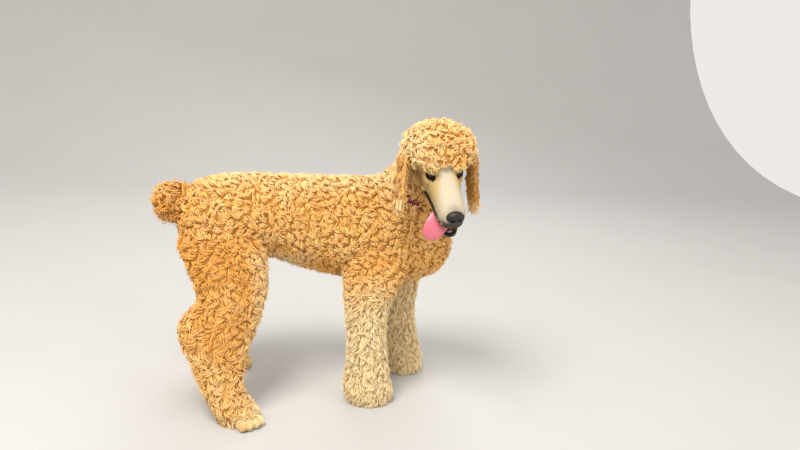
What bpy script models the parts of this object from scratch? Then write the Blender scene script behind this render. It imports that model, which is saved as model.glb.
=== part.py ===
# Standard poodle, a still life-size model: the solids, built in Blender 4.5.
# Metres, +Z up. The dog's own frame has its origin on the floor under the withers, +X to
# its chest and +Y to its left side; STAND_CENTRE then moves the middle of the whole model
# to the origin. The body is modelled whole, core and curls, and parted with thin cuts.
import math
import random
from itertools import accumulate, pairwise

import bmesh
import bpy
from mathutils import Matrix, Vector

# Driving dimensions
GAP = 0.0003                    # between two nodes that meet face to face
BIG = 0.6                       # reach of a cutter past all of the dog
WELD = 0.00001                  # points nearer to each other than this are one
SOLVER = "MANIFOLD"             # EXACT leaves open edges where a cut crosses joined clumps
FACET_SHRINK = 0.97             # rings of flat sides are set out by this, to hold the width
SHARP_ANGLE = math.radians(50)  # edges past this stay sharp when shaded
STAND_CENTRE = (-0.1645, -0.0747)  # middle of the standing dog, in the dog's own frame
ELBOW_Z = 0.325                 # front legs leave the torso here
HIND_CUT = ((-0.27, 0.400), (-0.51, 0.470))   # x, z of the cut from flank to rump
FORELEG_REACH = (-0.20, 0.40)   # from back to front, along the elbow's level
HINDLEG_REACH = (-0.60, 0.135)  # from back to front, along the cut to the rump
PAW_Z = 0.050                   # top of the paws
NECK_BASE = ((0.060, 0.0, 0.590), (0.757, 0.0, 0.653))    # point and normal of the cut
NECK_TOP = ((0.131, -0.104, 0.678), (0.05, -0.70, 0.71))
NECK_SIDE = 0.092               # half width of the space under the skull for the neck
NECK_REACH = 0.12               # and its depth

HEAD_AT = (0.138, -0.170, 0.688)             # middle of the skull
HEAD_TURN = (math.radians(8), math.radians(34), math.radians(-88.5))
EYE_AT = (0.050, 0.034, 0.017)               # left eye, in the head's frame
EYE_LOOK = (0.80, 0.55, 0.10)
EYE_RADIUS = 0.0115
LID_RADIUS = 0.0105
LID_THICK = 0.0032
LID_FORWARD = 0.0045                         # of the eye's middle, the way it looks
LID_SHAPE = (1.12, 0.84, 1.0)                # an almond, wider than high
NOSE_AT = (0.180, 0.0, 0.0)                  # middle of the nose pad
NOSE_RADII = (0.014, 0.021, 0.015)
NOSTRIL = ((0.193, 0.008, 0.0), (0.009, 0.0035, 0.004))      # middle and radii
PALATE = ((0.105, 0.0, -0.042), (0.058, 0.020, 0.010))
MOUTH_Z = -0.042                             # line of the mouth
LIP_RADIUS = 0.0045
JAW_HINGE = (0.040, 0.0, MOUTH_Z)
JAW_OPEN = math.radians(17)
LOWER_LIP_INSET = (0.004, 0.0065, 0.003)     # back, in and down from the upper lip
LOWER_LIP_RADIUS = 0.0036
MOUTH_FLOOR = ((0.064, 0.0, 0.004), (0.060, 0.019, 0.012))   # in the jaw's frame
HALF_JAW, JAW_DEPTH, MUZZLE_END = 0.1, 0.2, 0.3     # the space that jaw and head share

# left (1) and right (-1) ear: the flap from the middle of the head, and how far its tip
# stands out past that
EAR_SIDE = {1: 0.086, -1: 0.096}
EAR_LEAN = {1: 0.022, -1: 0.006}
EAR_TOP_Z = 0.706
EAR_LENGTH = 0.150
EAR_INNER = 0.062               # nothing of an ear is nearer to the middle than this
EAR_ROOM = (0.062, 0.20, 0.22)  # front and back, out, and down: the space of an ear
EAR_CUP = (0.020, -0.085, (0.023, 0.011, 0.048))    # in from the leaf, height, radii

TAIL_POM = (-0.524, 0.0, 0.535)
TAIL_RADIUS = 0.056
TAIL_ROOM = 0.016               # that the tail's own space reaches past the pom
TAIL_ROOT_X = -0.478
ON_POM = 0.008                  # clumps of the tail start this far past its root
DOCK = ((-0.480, 0.0, 0.545), (0.034, 0.024, 0.026))        # middle and radii

COLLAR_AT = ((0.104, -0.014, 0.578), (0.72, -0.14, 0.66))    # middle and direction
COLLAR_RADII = (0.092, 0.076)
COLLAR_WIDTH = 0.018
COLLAR_THICK = 0.004
COLLAR_BED = 0.15               # outer radius of the groove for it

# Curls, as rounded clumps: how many, half width across, rise above the core
BODY_CURLS = (126, 0.051, 0.022)
TAIL_CURLS = (9, 0.030, 0.019)
TOPKNOT_CURLS = (25, 0.033, 0.019)
EAR_CURLS = (6, 0.022, 0.010)
CORE_INSET = 0.015              # how far the core lies inside the outlines below
# half width and height of a clump, from its crown to its root, as shares of its size
CURL_PROFILE = ((0.0, 1.0), (0.60, 0.80), (1.0, 0.0), (0.0, -0.9))
CURL_SIDES = 6
CURL_STRETCH = 1.15             # longer along the lie than across it
CURL_LEAN = 0.30                # how far its crown leans along the lie
CURL_VARY = (0.88, 1.12)        # sizes of neighbours, least and most
RISE_VARY = (0.85, 1.08)
LEG_SIZE, NECK_SIZE = 0.68, 0.78    # clumps below LEG_TOP and in front of NECK_X are smaller
LEG_TOP, NECK_X = 0.37, 0.08
FALL_TOP = 0.42                 # below this the coat hangs straight down
CURL_FLOOR = 0.022              # no clump starts lower than this
TOE_CLEAR, EYE_CLEAR = 0.040, 0.028     # nor nearer than this to a foot's ball or an eye
ON_BALL = 0.93                  # share of the topknot's radii at which its surface counts
TRIES = 24                      # places tried for each clump
ON_SURFACE = 0.001              # a place this near to the joined core still shows

# Outlines of the coat, out to the tips of the curls
# torso: x, top, bottom, half width
TORSO = ((-0.502, 0.545, 0.455, 0.050), (-0.490, 0.570, 0.430, 0.080),
         (-0.454, 0.600, 0.400, 0.104), (-0.390, 0.615, 0.385, 0.114),
         (-0.320, 0.619, 0.386, 0.108), (-0.260, 0.621, 0.384, 0.098),
         (-0.180, 0.621, 0.356, 0.102), (-0.100, 0.620, 0.336, 0.111),
         (-0.020, 0.622, 0.324, 0.118), (0.050, 0.628, 0.320, 0.118),
         (0.110, 0.600, 0.318, 0.112), (0.165, 0.550, 0.326, 0.098),
         (0.208, 0.510, 0.350, 0.078), (0.230, 0.475, 0.396, 0.046))
# legs, from inside the torso to the floor: z, back x, front x, middle y, half y
FORELEG_RIGHT = ((0.460, -0.060, 0.110, -0.060, 0.050), (0.400, -0.085, 0.110, -0.072, 0.056),
                 (0.340, -0.084, 0.090, -0.084, 0.058), (0.270, -0.076, 0.056, -0.094, 0.054),
                 (0.190, -0.067, 0.052, -0.101, 0.052), (0.120, -0.063, 0.060, -0.106, 0.056),
                 (0.060, -0.070, 0.070, -0.110, 0.063), (0.022, -0.066, 0.080, -0.112, 0.064),
                 (-0.014, -0.052, 0.070, -0.112, 0.056))
FORELEG_LEFT = ((0.460, -0.010, 0.150, 0.060, 0.050), (0.400, 0.000, 0.185, 0.072, 0.056),
                (0.340, 0.022, 0.195, 0.082, 0.056), (0.270, 0.058, 0.188, 0.086, 0.054),
                (0.190, 0.068, 0.183, 0.084, 0.052), (0.120, 0.078, 0.195, 0.080, 0.056),
                (0.060, 0.083, 0.212, 0.076, 0.062), (0.022, 0.086, 0.218, 0.074, 0.064),
                (-0.014, 0.098, 0.208, 0.074, 0.056))
HINDLEG_RIGHT = ((0.530, -0.450, -0.330, -0.050, 0.040), (0.460, -0.513, -0.290, -0.066, 0.058),
                 (0.400, -0.497, -0.278, -0.084, 0.068), (0.345, -0.475, -0.277, -0.100, 0.066),
                 (0.300, -0.466, -0.284, -0.114, 0.062), (0.262, -0.500, -0.292, -0.126, 0.056),
                 (0.226, -0.512, -0.306, -0.138, 0.052), (0.184, -0.497, -0.322, -0.150, 0.050),
                 (0.140, -0.474, -0.332, -0.162, 0.049), (0.084, -0.450, -0.334, -0.176, 0.050),
                 (0.046, -0.430, -0.312, -0.187, 0.052), (0.018, -0.414, -0.292, -0.192, 0.050),
                 (-0.014, -0.402, -0.300, -0.194, 0.044))
HINDLEG_LEFT = ((0.530, -0.450, -0.330, 0.050, 0.040), (0.460, -0.505, -0.290, 0.066, 0.058),
                (0.400, -0.485, -0.278, 0.084, 0.068), (0.345, -0.464, -0.277, 0.096, 0.066),
                (0.300, -0.454, -0.286, 0.104, 0.060), (0.262, -0.466, -0.300, 0.110, 0.054),
                (0.226, -0.472, -0.320, 0.114, 0.050), (0.184, -0.468, -0.336, 0.118, 0.048),
                (0.140, -0.462, -0.344, 0.121, 0.047), (0.084, -0.456, -0.346, 0.125, 0.048),
                (0.046, -0.452, -0.342, 0.127, 0.050), (0.018, -0.448, -0.334, 0.129, 0.048),
                (-0.014, -0.436, -0.342, 0.130, 0.044))
# hind toes: middle of the ball of the foot, and the way that the toes point
TOES = (((-0.337, -0.211), math.radians(-60)), ((-0.352, 0.133), math.radians(8)))
TOE_RADII = (0.022, 0.0095, 0.0145)
TOE_Z = 0.013
TOE_REACH, TOE_SHORTER = 0.026, 0.004       # ahead of the ball, and less for an outer toe
TOE_APART, TOE_FAN = 0.013, math.radians(9)
# neck: middle, direction, half x, half y
NECK = (((0.070, 0.004, 0.480), (0.36, 0.00, 0.93), 0.112, 0.104),
        ((0.088, 0.000, 0.545), (0.36, -0.10, 0.93), 0.103, 0.096),
        ((0.104, -0.018, 0.598), (0.26, -0.32, 0.90), 0.083, 0.079),
        ((0.119, -0.055, 0.640), (0.14, -0.60, 0.78), 0.071, 0.069),
        ((0.130, -0.098, 0.674), (0.05, -0.70, 0.71), 0.064, 0.063),
        ((0.134, -0.138, 0.706), (0.05, -0.70, 0.71), 0.056, 0.056))
# ears: z from the top, half thickness, half width
EAR = ((0.030, 0.010, 0.022), (0.000, 0.011, 0.027), (-0.045, 0.010, 0.032),
       (-0.090, 0.010, 0.034), (-0.125, 0.009, 0.029), (-0.146, 0.006, 0.014))
EAR_CURLED = (-0.140, -0.004)       # heights between which an ear's clumps stand
# head without its curls: x, top, bottom, half width, in the head's frame
SKULL = ((-0.098, 0.025, -0.030, 0.024), (-0.080, 0.046, -0.052, 0.046),
         (-0.040, 0.058, -0.066, 0.060), (0.005, 0.056, -0.070, 0.061),
         (0.040, 0.044, -0.068, 0.052), (0.065, 0.030, -0.062, 0.043),
         (0.100, 0.022, -0.056, 0.036), (0.140, 0.017, -0.052, 0.032),
         (0.166, 0.013, -0.046, 0.029), (0.180, 0.006, -0.034, 0.020))
TOPKNOT = ((-0.026, 0.0, 0.030), (0.090, 0.102, 0.068))     # middle and radii, to the tips
UPPER_LIP = ((0.036, 0.050), (0.070, 0.041), (0.100, 0.0355), (0.135, 0.032), (0.160, 0.028),
             (0.174, 0.018), (0.180, 0.000))    # x and y from the corner to the front
# lower jaw: x from the hinge, top, bottom, half width, in the jaw's frame
JAW = ((-0.030, 0.006, -0.034, 0.050), (0.000, 0.004, -0.032, 0.047),
       (0.035, 0.000, -0.026, 0.036), (0.070, 0.000, -0.021, 0.029),
       (0.105, 0.001, -0.018, 0.025), (0.128, 0.001, -0.014, 0.020),
       (0.138, 0.001, -0.009, 0.012))
# tongue: middle, direction, upper side, half width, half thickness, in the head's frame
TONGUE = (((0.070, 0.000, -0.0500), (1.00, 0.00, -0.15), (0.00, 0.00, 1.00), 0.013, 0.0030),
          ((0.095, -0.003, -0.0520), (0.90, -0.20, -0.12), (0.05, 0.00, 1.00), 0.018, 0.0034),
          ((0.118, -0.010, -0.0560), (0.80, -0.40, -0.30), (0.30, -0.15, 0.90), 0.022, 0.0040),
          ((0.1350, -0.0215, -0.0625), (0.60, -0.60, -0.50), (0.62, -0.30, 0.72), 0.0260, 0.0044),
          ((0.1465, -0.0330, -0.0720), (0.55, -0.60, -0.60), (0.72, -0.45, 0.52), 0.0265, 0.0044),
          ((0.1555, -0.0435, -0.0840), (0.50, -0.50, -0.75), (0.80, -0.45, 0.40), 0.0250, 0.0042),
          ((0.1610, -0.0500, -0.0960), (0.45, -0.45, -0.80), (0.82, -0.44, 0.36), 0.0185, 0.0038),
          ((0.1640, -0.0535, -0.1030), (0.45, -0.45, -0.80), (0.82, -0.44, 0.36), 0.0080, 0.0025))

# Finish: base colour, roughness
FINISH = {"coat": ((0.72, 0.45, 0.20), 0.9), "face": ((0.80, 0.66, 0.46), 0.85),
          "nose": ((0.045, 0.030, 0.026), 0.4), "eye": ((0.030, 0.016, 0.010), 0.1),
          "tongue": ((0.78, 0.30, 0.32), 0.35), "collar": ((0.30, 0.020, 0.030), 0.7)}


def clear_scene():
    for old in list(bpy.data.objects):
        bpy.data.objects.remove(old, do_unlink=True)


def new_collection(name):
    collection = bpy.data.collections.new(name)
    bpy.context.scene.collection.children.link(collection)
    return collection


def finish(name):
    """The Principled material of that name, made once."""
    if name in bpy.data.materials:
        return bpy.data.materials[name]
    colour, roughness = FINISH[name]
    material = bpy.data.materials.new(name)
    material.use_nodes = True
    shader = material.node_tree.nodes["Principled BSDF"]
    shader.inputs["Base Color"].default_value = (*colour, 1.0)
    shader.inputs["Roughness"].default_value = roughness
    shader.inputs["Metallic"].default_value = 0.0
    return material


def empty(name, parent=None, location=(0, 0, 0), rotation=(0, 0, 0)):
    frame = bpy.data.objects.new(name, None)
    PARTS.objects.link(frame)
    frame.parent = parent
    frame.location = location
    frame.rotation_euler = rotation
    bpy.context.view_layer.update()
    return frame


def plane_frame(name, point, normal):
    """An empty whose +Z is the normal of a cut and whose origin lies on it."""
    turn = Vector(normal).to_track_quat("Z", "Y").to_euler()
    return empty(name, DOG, point, turn)


def add_object(name, mesh, frame, collection):
    piece = bpy.data.objects.new(name, mesh)
    collection.objects.link(piece)
    piece.parent = frame
    return piece


def from_bmesh(name, shape, frame, collection):
    bmesh.ops.recalc_face_normals(shape, faces=shape.faces)
    mesh = bpy.data.meshes.new(name)
    shape.to_mesh(mesh)
    shape.free()
    return add_object(name, mesh, frame, collection)


def bake(piece):
    """Replaces the piece's mesh by what its modifiers make of it."""
    bpy.context.view_layer.update()
    graph = bpy.context.evaluated_depsgraph_get()
    mesh = bpy.data.meshes.new_from_object(piece.evaluated_get(graph))
    piece.modifiers.clear()
    piece.data = mesh
    return piece


def subdivide(piece, levels=1):
    soft = piece.modifiers.new("soft", "SUBSURF")
    soft.levels = levels
    soft.render_levels = levels
    return bake(piece)


def boolean(piece, operand, operation="DIFFERENCE"):
    """Joins, cuts or trims the piece by an object or by a whole collection."""
    change = piece.modifiers.new("boolean", "BOOLEAN")
    change.operation = operation
    change.solver = SOLVER
    if isinstance(operand, bpy.types.Collection):
        change.operand_type = "COLLECTION"
        change.collection = operand
    else:
        change.object = operand
    return bake(piece)


def join(piece, other):
    """Union with a piece that is used up."""
    boolean(piece, other, "UNION")
    bpy.data.objects.remove(other)
    return piece


def cut(piece, other):
    """Difference by a piece that is used up."""
    boolean(piece, other)
    bpy.data.objects.remove(other)
    return piece


def shell_volume(shell):
    total = 0.0
    for face in shell:
        first, *rest = [loop.vert.co for loop in face.loops]
        for second, third in pairwise(rest):
            total += first.dot(second.cross(third)) / 6
    return abs(total)


def keep_largest(piece):
    """Keeps the closed surface of the largest volume, drops sealed hollows and scraps."""
    shape = bmesh.new()
    shape.from_mesh(piece.data)
    unseen = set(shape.faces)
    shells = []
    while unseen:
        front = [unseen.pop()]
        shell = list(front)
        while front:
            for edge in front.pop().edges:
                for near in edge.link_faces:
                    if near in unseen:
                        unseen.remove(near)
                        front.append(near)
                        shell.append(near)
        shells.append(shell)
    shells.sort(key=shell_volume)
    for shell in shells[:-1]:
        bmesh.ops.delete(shape, geom=shell, context="FACES")
    loose = [vert for vert in shape.verts if not vert.link_faces]
    bmesh.ops.delete(shape, geom=loose, context="VERTS")
    shape.to_mesh(piece.data)
    shape.free()
    return piece


def part_node(piece, material):
    keep_largest(piece)
    piece.data.materials.clear()
    piece.data.materials.append(finish(material))
    piece.data.shade_smooth()
    piece.data.set_sharp_from_angle(angle=SHARP_ANGLE)
    return piece


# Soft forms through sections
def ring(middle, first, second, sides, levels=1):
    """Points round an ellipse whose half axes are the vectors first and second, set out
    by as much as Subdivision Surface pulls them in."""
    shrink = (2 + math.cos(2 * math.pi / sides)) / 3 if levels else FACET_SHRINK
    points = []
    for step in range(sides):
        angle = 2 * math.pi * (step + 0.5) / sides
        points.append(middle + (first * math.cos(angle) + second * math.sin(angle)) / shrink)
    return points


def rings_along_x(rows, sides, inset=0.0, levels=1):
    """Rows of x, top, bottom and half width, each made smaller all round by the inset."""
    rings = []
    for x, top, bottom, half in rows:
        middle = Vector((x, 0, (top + bottom) / 2))
        rings.append(ring(middle, Vector((0, half - inset, 0)),
                          Vector((0, 0, (top - bottom) / 2 - inset)), sides, levels))
    return rings


def rings_along_z(rows, sides, inset=0.0, levels=1):
    """Rows of z, back x, front x, middle y and half y."""
    rings = []
    for z, back, front, y, half in rows:
        middle = Vector(((back + front) / 2, y, z))
        rings.append(ring(middle, Vector(((front - back) / 2 - inset, 0, 0)),
                          Vector((0, half - inset, 0)), sides, levels))
    return rings


def rings_along_neck(sides, inset, levels):
    rings = []
    for middle, direction, half_x, half_y in NECK:
        along = Vector(direction).normalized()
        forward = (Vector((1, 0, 0)) - along * along.x).normalized()
        rings.append(ring(Vector(middle), forward * (half_x - inset),
                          along.cross(forward) * (half_y - inset), sides, levels))
    return rings


def loft(name, rings, frame, collection, levels=1):
    """One closed soft form through unlike rings, smoothed by Subdivision Surface."""
    shape = bmesh.new()
    loops = [[shape.verts.new(point) for point in points] for points in rings]
    for lower, upper in pairwise(loops):
        for side in range(len(lower)):
            after = (side + 1) % len(lower)
            shape.faces.new((lower[side], lower[after], upper[after], upper[side]))
    shape.faces.new(loops[0])
    shape.faces.new(loops[-1])
    return subdivide(from_bmesh(name, shape, frame, collection), levels)


def ball(name, middle, radii, frame, collection, segments=16, rounds=10, turn=0.0):
    shape = bmesh.new()
    bmesh.ops.create_uvsphere(shape, u_segments=segments, v_segments=rounds, radius=1.0)
    bmesh.ops.scale(shape, verts=shape.verts, vec=radii)
    bmesh.ops.rotate(shape, verts=shape.verts, matrix=Matrix.Rotation(turn, 3, "Z"))
    bmesh.ops.translate(shape, verts=shape.verts, vec=middle)
    return from_bmesh(name, shape, frame, collection)


def tube(name, points, radius, frame):
    """A closed tube along a chain of points: a curve, made a mesh with welded caps."""
    curve = bpy.data.curves.new(name, "CURVE")
    curve.dimensions = "3D"
    curve.bevel_depth = radius
    curve.bevel_resolution = 1
    curve.use_fill_caps = True
    line = curve.splines.new("POLY")
    line.points.add(len(points) - 1)
    for place, point in zip(line.points, points):
        place.co = (*point, 1.0)
    path = add_object(name + "_path", curve, frame, CUTTERS)
    bpy.context.view_layer.update()
    graph = bpy.context.evaluated_depsgraph_get()
    mesh = bpy.data.meshes.new_from_object(path.evaluated_get(graph))
    bpy.data.objects.remove(path)
    shape = bmesh.new()
    shape.from_mesh(mesh)
    bmesh.ops.remove_doubles(shape, verts=shape.verts, dist=WELD)
    return from_bmesh(name, shape, frame, CUTTERS)


def hoop(name, inner, outer, width, frame, collection):
    """A flat band round the frame's Z axis: a turned rectangle, longer along X."""
    half = width / 2
    profile = [(inner, -half), (outer, -half), (outer, half), (inner, half)]
    shape = bmesh.new()
    verts = [shape.verts.new((x, 0, z)) for x, z in profile]
    edges = [shape.edges.new((verts[i - 1], verts[i])) for i in range(len(verts))]
    bmesh.ops.spin(shape, geom=verts + edges, axis=(0, 0, 1), cent=(0, 0, 0), steps=24,
                   angle=2 * math.pi, use_merge=True)
    bmesh.ops.remove_doubles(shape, verts=shape.verts, dist=WELD)
    bmesh.ops.scale(shape, verts=shape.verts, vec=(COLLAR_RADII[0] / COLLAR_RADII[1], 1, 1))
    return from_bmesh(name, shape, frame, collection)


# Cutters
def as_cutter(piece):
    piece.hide_render = True
    piece.display_type = "WIRE"
    return piece


def box_cutter(name, low, high, frame):
    """A box between two corners, in the frame's own axes."""
    shape = bmesh.new()
    bmesh.ops.create_cube(shape, size=1.0)
    size = [top - bottom for bottom, top in zip(low, high)]
    middle = [(top + bottom) / 2 for bottom, top in zip(low, high)]
    bmesh.ops.scale(shape, verts=shape.verts, vec=size)
    bmesh.ops.translate(shape, verts=shape.verts, vec=middle)
    return as_cutter(from_bmesh(name, shape, frame, CUTTERS))


def lower_half(name, frame, gap, reach=BIG, side=BIG):
    """The space on the -Z side of a frame's plane, the gap away from it."""
    return box_cutter(name, (-side, -side, -reach), (side, side, -gap), frame)


def upper_half(name, frame, gap):
    return box_cutter(name, (-BIG, -BIG, gap), (BIG, BIG, BIG), frame)


# Curls
def in_order(point):
    """Sorts points by place alone, whatever order Blender lists them in."""
    return tuple(round(value, 5) for value in point)


def triangles(piece):
    """The piece's faces as fans of three points, in an order that each run repeats."""
    fans = []
    for face in piece.data.polygons:
        corners = [piece.data.vertices[index].co.copy() for index in face.vertices]
        lowest = min(range(len(corners)), key=lambda i: in_order(corners[i]))
        first, *rest = corners[lowest:] + corners[:lowest]
        fans += [(first, second, third) for second, third in pairwise(rest)]
    return sorted(fans, key=lambda fan: in_order(fan[0] + fan[1] + fan[2]))


def scatter(core, faces, count, draw, allowed, size_at):
    """Even places on what shows of the faces in the joined core: each new one is the
    loneliest of some random tries, and where clumps are smaller they lie closer."""
    weights = list(accumulate((two - one).cross(three - one).length
                              for one, two, three in faces))
    places = []
    while len(places) < count:
        tries = []
        while len(tries) < TRIES:
            one, two, three = draw.choices(faces, cum_weights=weights)[0]
            first, second = sorted((draw.random(), draw.random()))
            point = one * first + two * (second - first) + three * (1 - second)
            _, nearest, _, _ = core.closest_point_on_mesh(point)
            if allowed(point) and (nearest - point).length < ON_SURFACE:
                room = min(((point - place).length for place, _ in places), default=1.0)
                normal = (two - one).cross(three - one).normalized()
                tries.append((room / size_at(point), len(tries), point, normal))
        _, _, point, normal = max(tries)
        places.append((point, normal))
    return places


def curl(name, place, normal, lie, half, rise, frame):
    """One rounded clump, rooted in the core, its crown leaning along the lie."""
    crown = (normal + lie * CURL_LEAN).normalized()
    along = (lie - crown * lie.dot(crown)).normalized()
    shape = bmesh.new()
    verts = [shape.verts.new((x, 0, z)) for x, z in CURL_PROFILE]
    edges = [shape.edges.new(pair) for pair in pairwise(verts)]
    bmesh.ops.spin(shape, geom=verts + edges, axis=(0, 0, 1), cent=(0, 0, 0),
                   steps=CURL_SIDES, angle=2 * math.pi, use_merge=True)
    bmesh.ops.remove_doubles(shape, verts=shape.verts, dist=WELD)
    bmesh.ops.scale(shape, verts=shape.verts, vec=(half * CURL_STRETCH, half, rise))
    turn = Matrix((along, crown.cross(along), crown)).transposed()
    bmesh.ops.rotate(shape, verts=shape.verts, matrix=turn)
    bmesh.ops.translate(shape, verts=shape.verts, vec=place)
    return from_bmesh(name, shape, frame, CURLS)


def same_size(place):
    return 1.0


def body_size(place):
    """Full size on the trunk, smaller down the legs and up the neck."""
    if place.z < LEG_TOP:
        return LEG_SIZE
    return NECK_SIZE if place.x > NECK_X else 1.0


def grow_curls(core, faces, curls, seed, lie_at, allowed, frame, size_at=same_size):
    """Joins a coat of clumps, rooted in the faces, to its core in one union."""
    count, half, rise = curls
    draw = random.Random(seed)
    places = scatter(core, faces, count, draw, allowed, size_at)
    for number, (place, normal) in enumerate(places):
        size = size_at(place) * draw.uniform(*CURL_VARY)
        curl(f"curl_{number}", place, normal, lie_at(place, normal), half * size,
             rise * draw.uniform(*RISE_VARY), frame)
    boolean(core, CURLS, "UNION")
    for piece in list(CURLS.objects):
        bpy.data.objects.remove(piece)
    return keep_largest(core)


def body_lie(place, normal):
    """Down the legs, back and down on the trunk."""
    return Vector((0, 0, -1)) if place.z < FALL_TOP else Vector((-0.8, 0, -0.6))


def pom_lie(place, normal):
    """Across the surface, so that a ball's curls lie every way."""
    return normal.cross(Vector((0.3, 0.9, 0.3))).normalized()


# The body, whole
def make_body():
    """Core and clumps of all but the head and ears, in one piece."""
    core = loft("core", rings_along_x(TORSO, 10, CORE_INSET, 0), DOG, PARTS, 0)
    forms = [loft("neck_core", rings_along_neck(10, CORE_INSET, 0), DOG, CUTTERS, 0)]
    for rows in (FORELEG_RIGHT, FORELEG_LEFT, HINDLEG_RIGHT, HINDLEG_LEFT):
        forms.append(loft("leg_core", rings_along_z(rows, 8, CORE_INSET, 0), DOG, CUTTERS, 0))
    body_faces = triangles(core)
    for form in forms:
        body_faces += triangles(form)
    pom = TAIL_RADIUS - CORE_INSET
    forms.append(ball("pom_core", TAIL_POM, (pom, pom, pom), DOG, CUTTERS, 10, 6))
    pom_faces = triangles(forms[-1])
    forms.append(ball("dock", *DOCK, DOG, CUTTERS, 12, 8))
    for form in forms + make_toes():
        join(core, form)
    grow_curls(core, body_faces, BODY_CURLS, 7, body_lie, above_toes, DOG, body_size)
    return grow_curls(core, pom_faces, TAIL_CURLS, 8, pom_lie, on_pom, DOG)


def make_toes():
    """Four toes in a fan before the ball of each hind foot."""
    toes = []
    for (x, y), turn in TOES:
        for spread in (-1.5, -0.5, 0.5, 1.5):
            way = turn + spread * TOE_FAN
            reach = TOE_REACH - TOE_SHORTER * abs(spread)
            aside = TOE_APART * spread
            place = (x + reach * math.cos(way) - aside * math.sin(turn),
                     y + reach * math.sin(way) + aside * math.cos(turn), TOE_Z)
            toes.append(ball("toe", place, TOE_RADII, DOG, CUTTERS, 8, 5, way))
    return toes


def near_tail(point):
    return (point - Vector(TAIL_POM)).length < TAIL_RADIUS + TAIL_ROOM


def above_toes(point):
    return point.z > CURL_FLOOR and not near_tail(point) and not near_toes(point)


def near_toes(point):
    return any((point - Vector((x, y, TOE_Z))).length < TOE_CLEAR for (x, y), _ in TOES)


def on_pom(point):
    return near_tail(point) and point.x < TAIL_ROOT_X - ON_POM


def share_out(whole, name, region, cuts=()):
    """The part of the whole body that lies in one node's space."""
    node = add_object(name, whole.data.copy(), DOG, PARTS)
    boolean(node, region, "INTERSECT")
    for cutter in cuts:
        boolean(node, cutter)
    return node


def leg_space(name, plane, reach, side):
    """Half of the space under a cut: side is +1 for the left leg, -1 for the right."""
    low_y, high_y = (GAP, BIG) if side > 0 else (-BIG, -GAP)
    return box_cutter(name + "_space", (reach[0], low_y, -BIG), (reach[1], high_y, -GAP / 2),
                      plane)


def make_leg(whole, name, plane, reach, side):
    """A leg and its paw, parted by a level cut above the toes."""
    leg = share_out(whole, name, leg_space(name, plane, reach, side), [UNDER_FLOOR, TAIL_BED])
    keep_largest(leg)
    paw = add_object(name.replace("leg", "paw"), leg.data.copy(), DOG, PARTS)
    boolean(leg, ABOVE_PAWS, "INTERSECT")
    boolean(paw, IN_PAWS, "INTERSECT")
    part_node(leg, "coat")
    part_node(paw, "coat")


# The head
def ear_frame(side):
    """The ear hangs straight down, whatever the head's tilt: only the turn is shared."""
    x, y, _ = HEAD_AT
    return empty("ear_frame_left" if side > 0 else "ear_frame_right", DOG,
                 (x, y, EAR_TOP_Z), (0, 0, HEAD_TURN[2]))


def ear_space(name, side, gap):
    """The space beside the head that an ear has to itself."""
    along, out, down = EAR_ROOM
    low, high = (EAR_INNER - gap, out) if side > 0 else (-out, gap - EAR_INNER)
    return box_cutter(name, (-along - gap, low, -down), (along + gap, high, gap),
                      EAR_FRAMES[side])


def make_ear(name, side):
    """A hanging leaf, cupped towards the cheek, with its curls on the outer face."""
    frame = EAR_FRAMES[side]
    rings = []
    for z, half_thick, half_wide in EAR:
        out = EAR_SIDE[side] - EAR_LEAN[side] * z / EAR_LENGTH - EAR_CURLS[2] / 2
        rings.append(ring(Vector((0, side * out, z)), Vector((half_wide, 0, 0)),
                          Vector((0, half_thick, 0)), 8))
    ear = loft(name, rings, frame, PARTS)
    faces = triangles(ear)
    middle = EAR_SIDE[side] + EAR_LEAN[side] / 2
    inward, height, radii = EAR_CUP
    cut(ear, ball("cup", (0, side * (middle - inward), height), radii, frame, CUTTERS, 10, 6))

    def outer_face(point):
        low, high = EAR_CURLED
        return side * point.y > middle - EAR_CURLS[2] and low < point.z < high

    def ear_lie(place, normal):
        return Vector((0, 0, -1))

    grow_curls(ear, faces, EAR_CURLS, 31 + side, ear_lie, outer_face, frame)
    boolean(ear, ear_space(name + "_space", side, 0.0), "INTERSECT")
    return part_node(ear, "coat")


def lid_ring(side):
    """The rim of the lids, an almond a little in front of the eye's middle."""
    bpy.ops.mesh.primitive_torus_add(major_radius=LID_RADIUS, minor_radius=LID_THICK,
                                     major_segments=10, minor_segments=5)
    rim = bpy.context.object
    x, y, z = EYE_AT
    look = Vector((EYE_LOOK[0], side * EYE_LOOK[1], EYE_LOOK[2])).normalized()
    rim.parent = HEAD
    rim.location = Vector((x, side * y, z)) + look * LID_FORWARD
    rim.rotation_euler = look.to_track_quat("Z", "Y").to_euler()
    rim.scale = LID_SHAPE
    return rim


def lip_path(side, z):
    return [(x, side * y, z) for x, y in UPPER_LIP]


def on_topknot(point):
    """Places on the ball of hair, clear of the eyes."""
    (x, _, z), radii = TOPKNOT
    share = Vector(((point.x - x) / (radii[0] - CORE_INSET),
                    point.y / (radii[1] - CORE_INSET), (point.z - z) / (radii[2] - CORE_INSET)))
    far = all((point - Vector((EYE_AT[0], side * EYE_AT[1], EYE_AT[2]))).length > EYE_CLEAR
              for side in (1, -1))
    return share.length > ON_BALL and far


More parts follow.
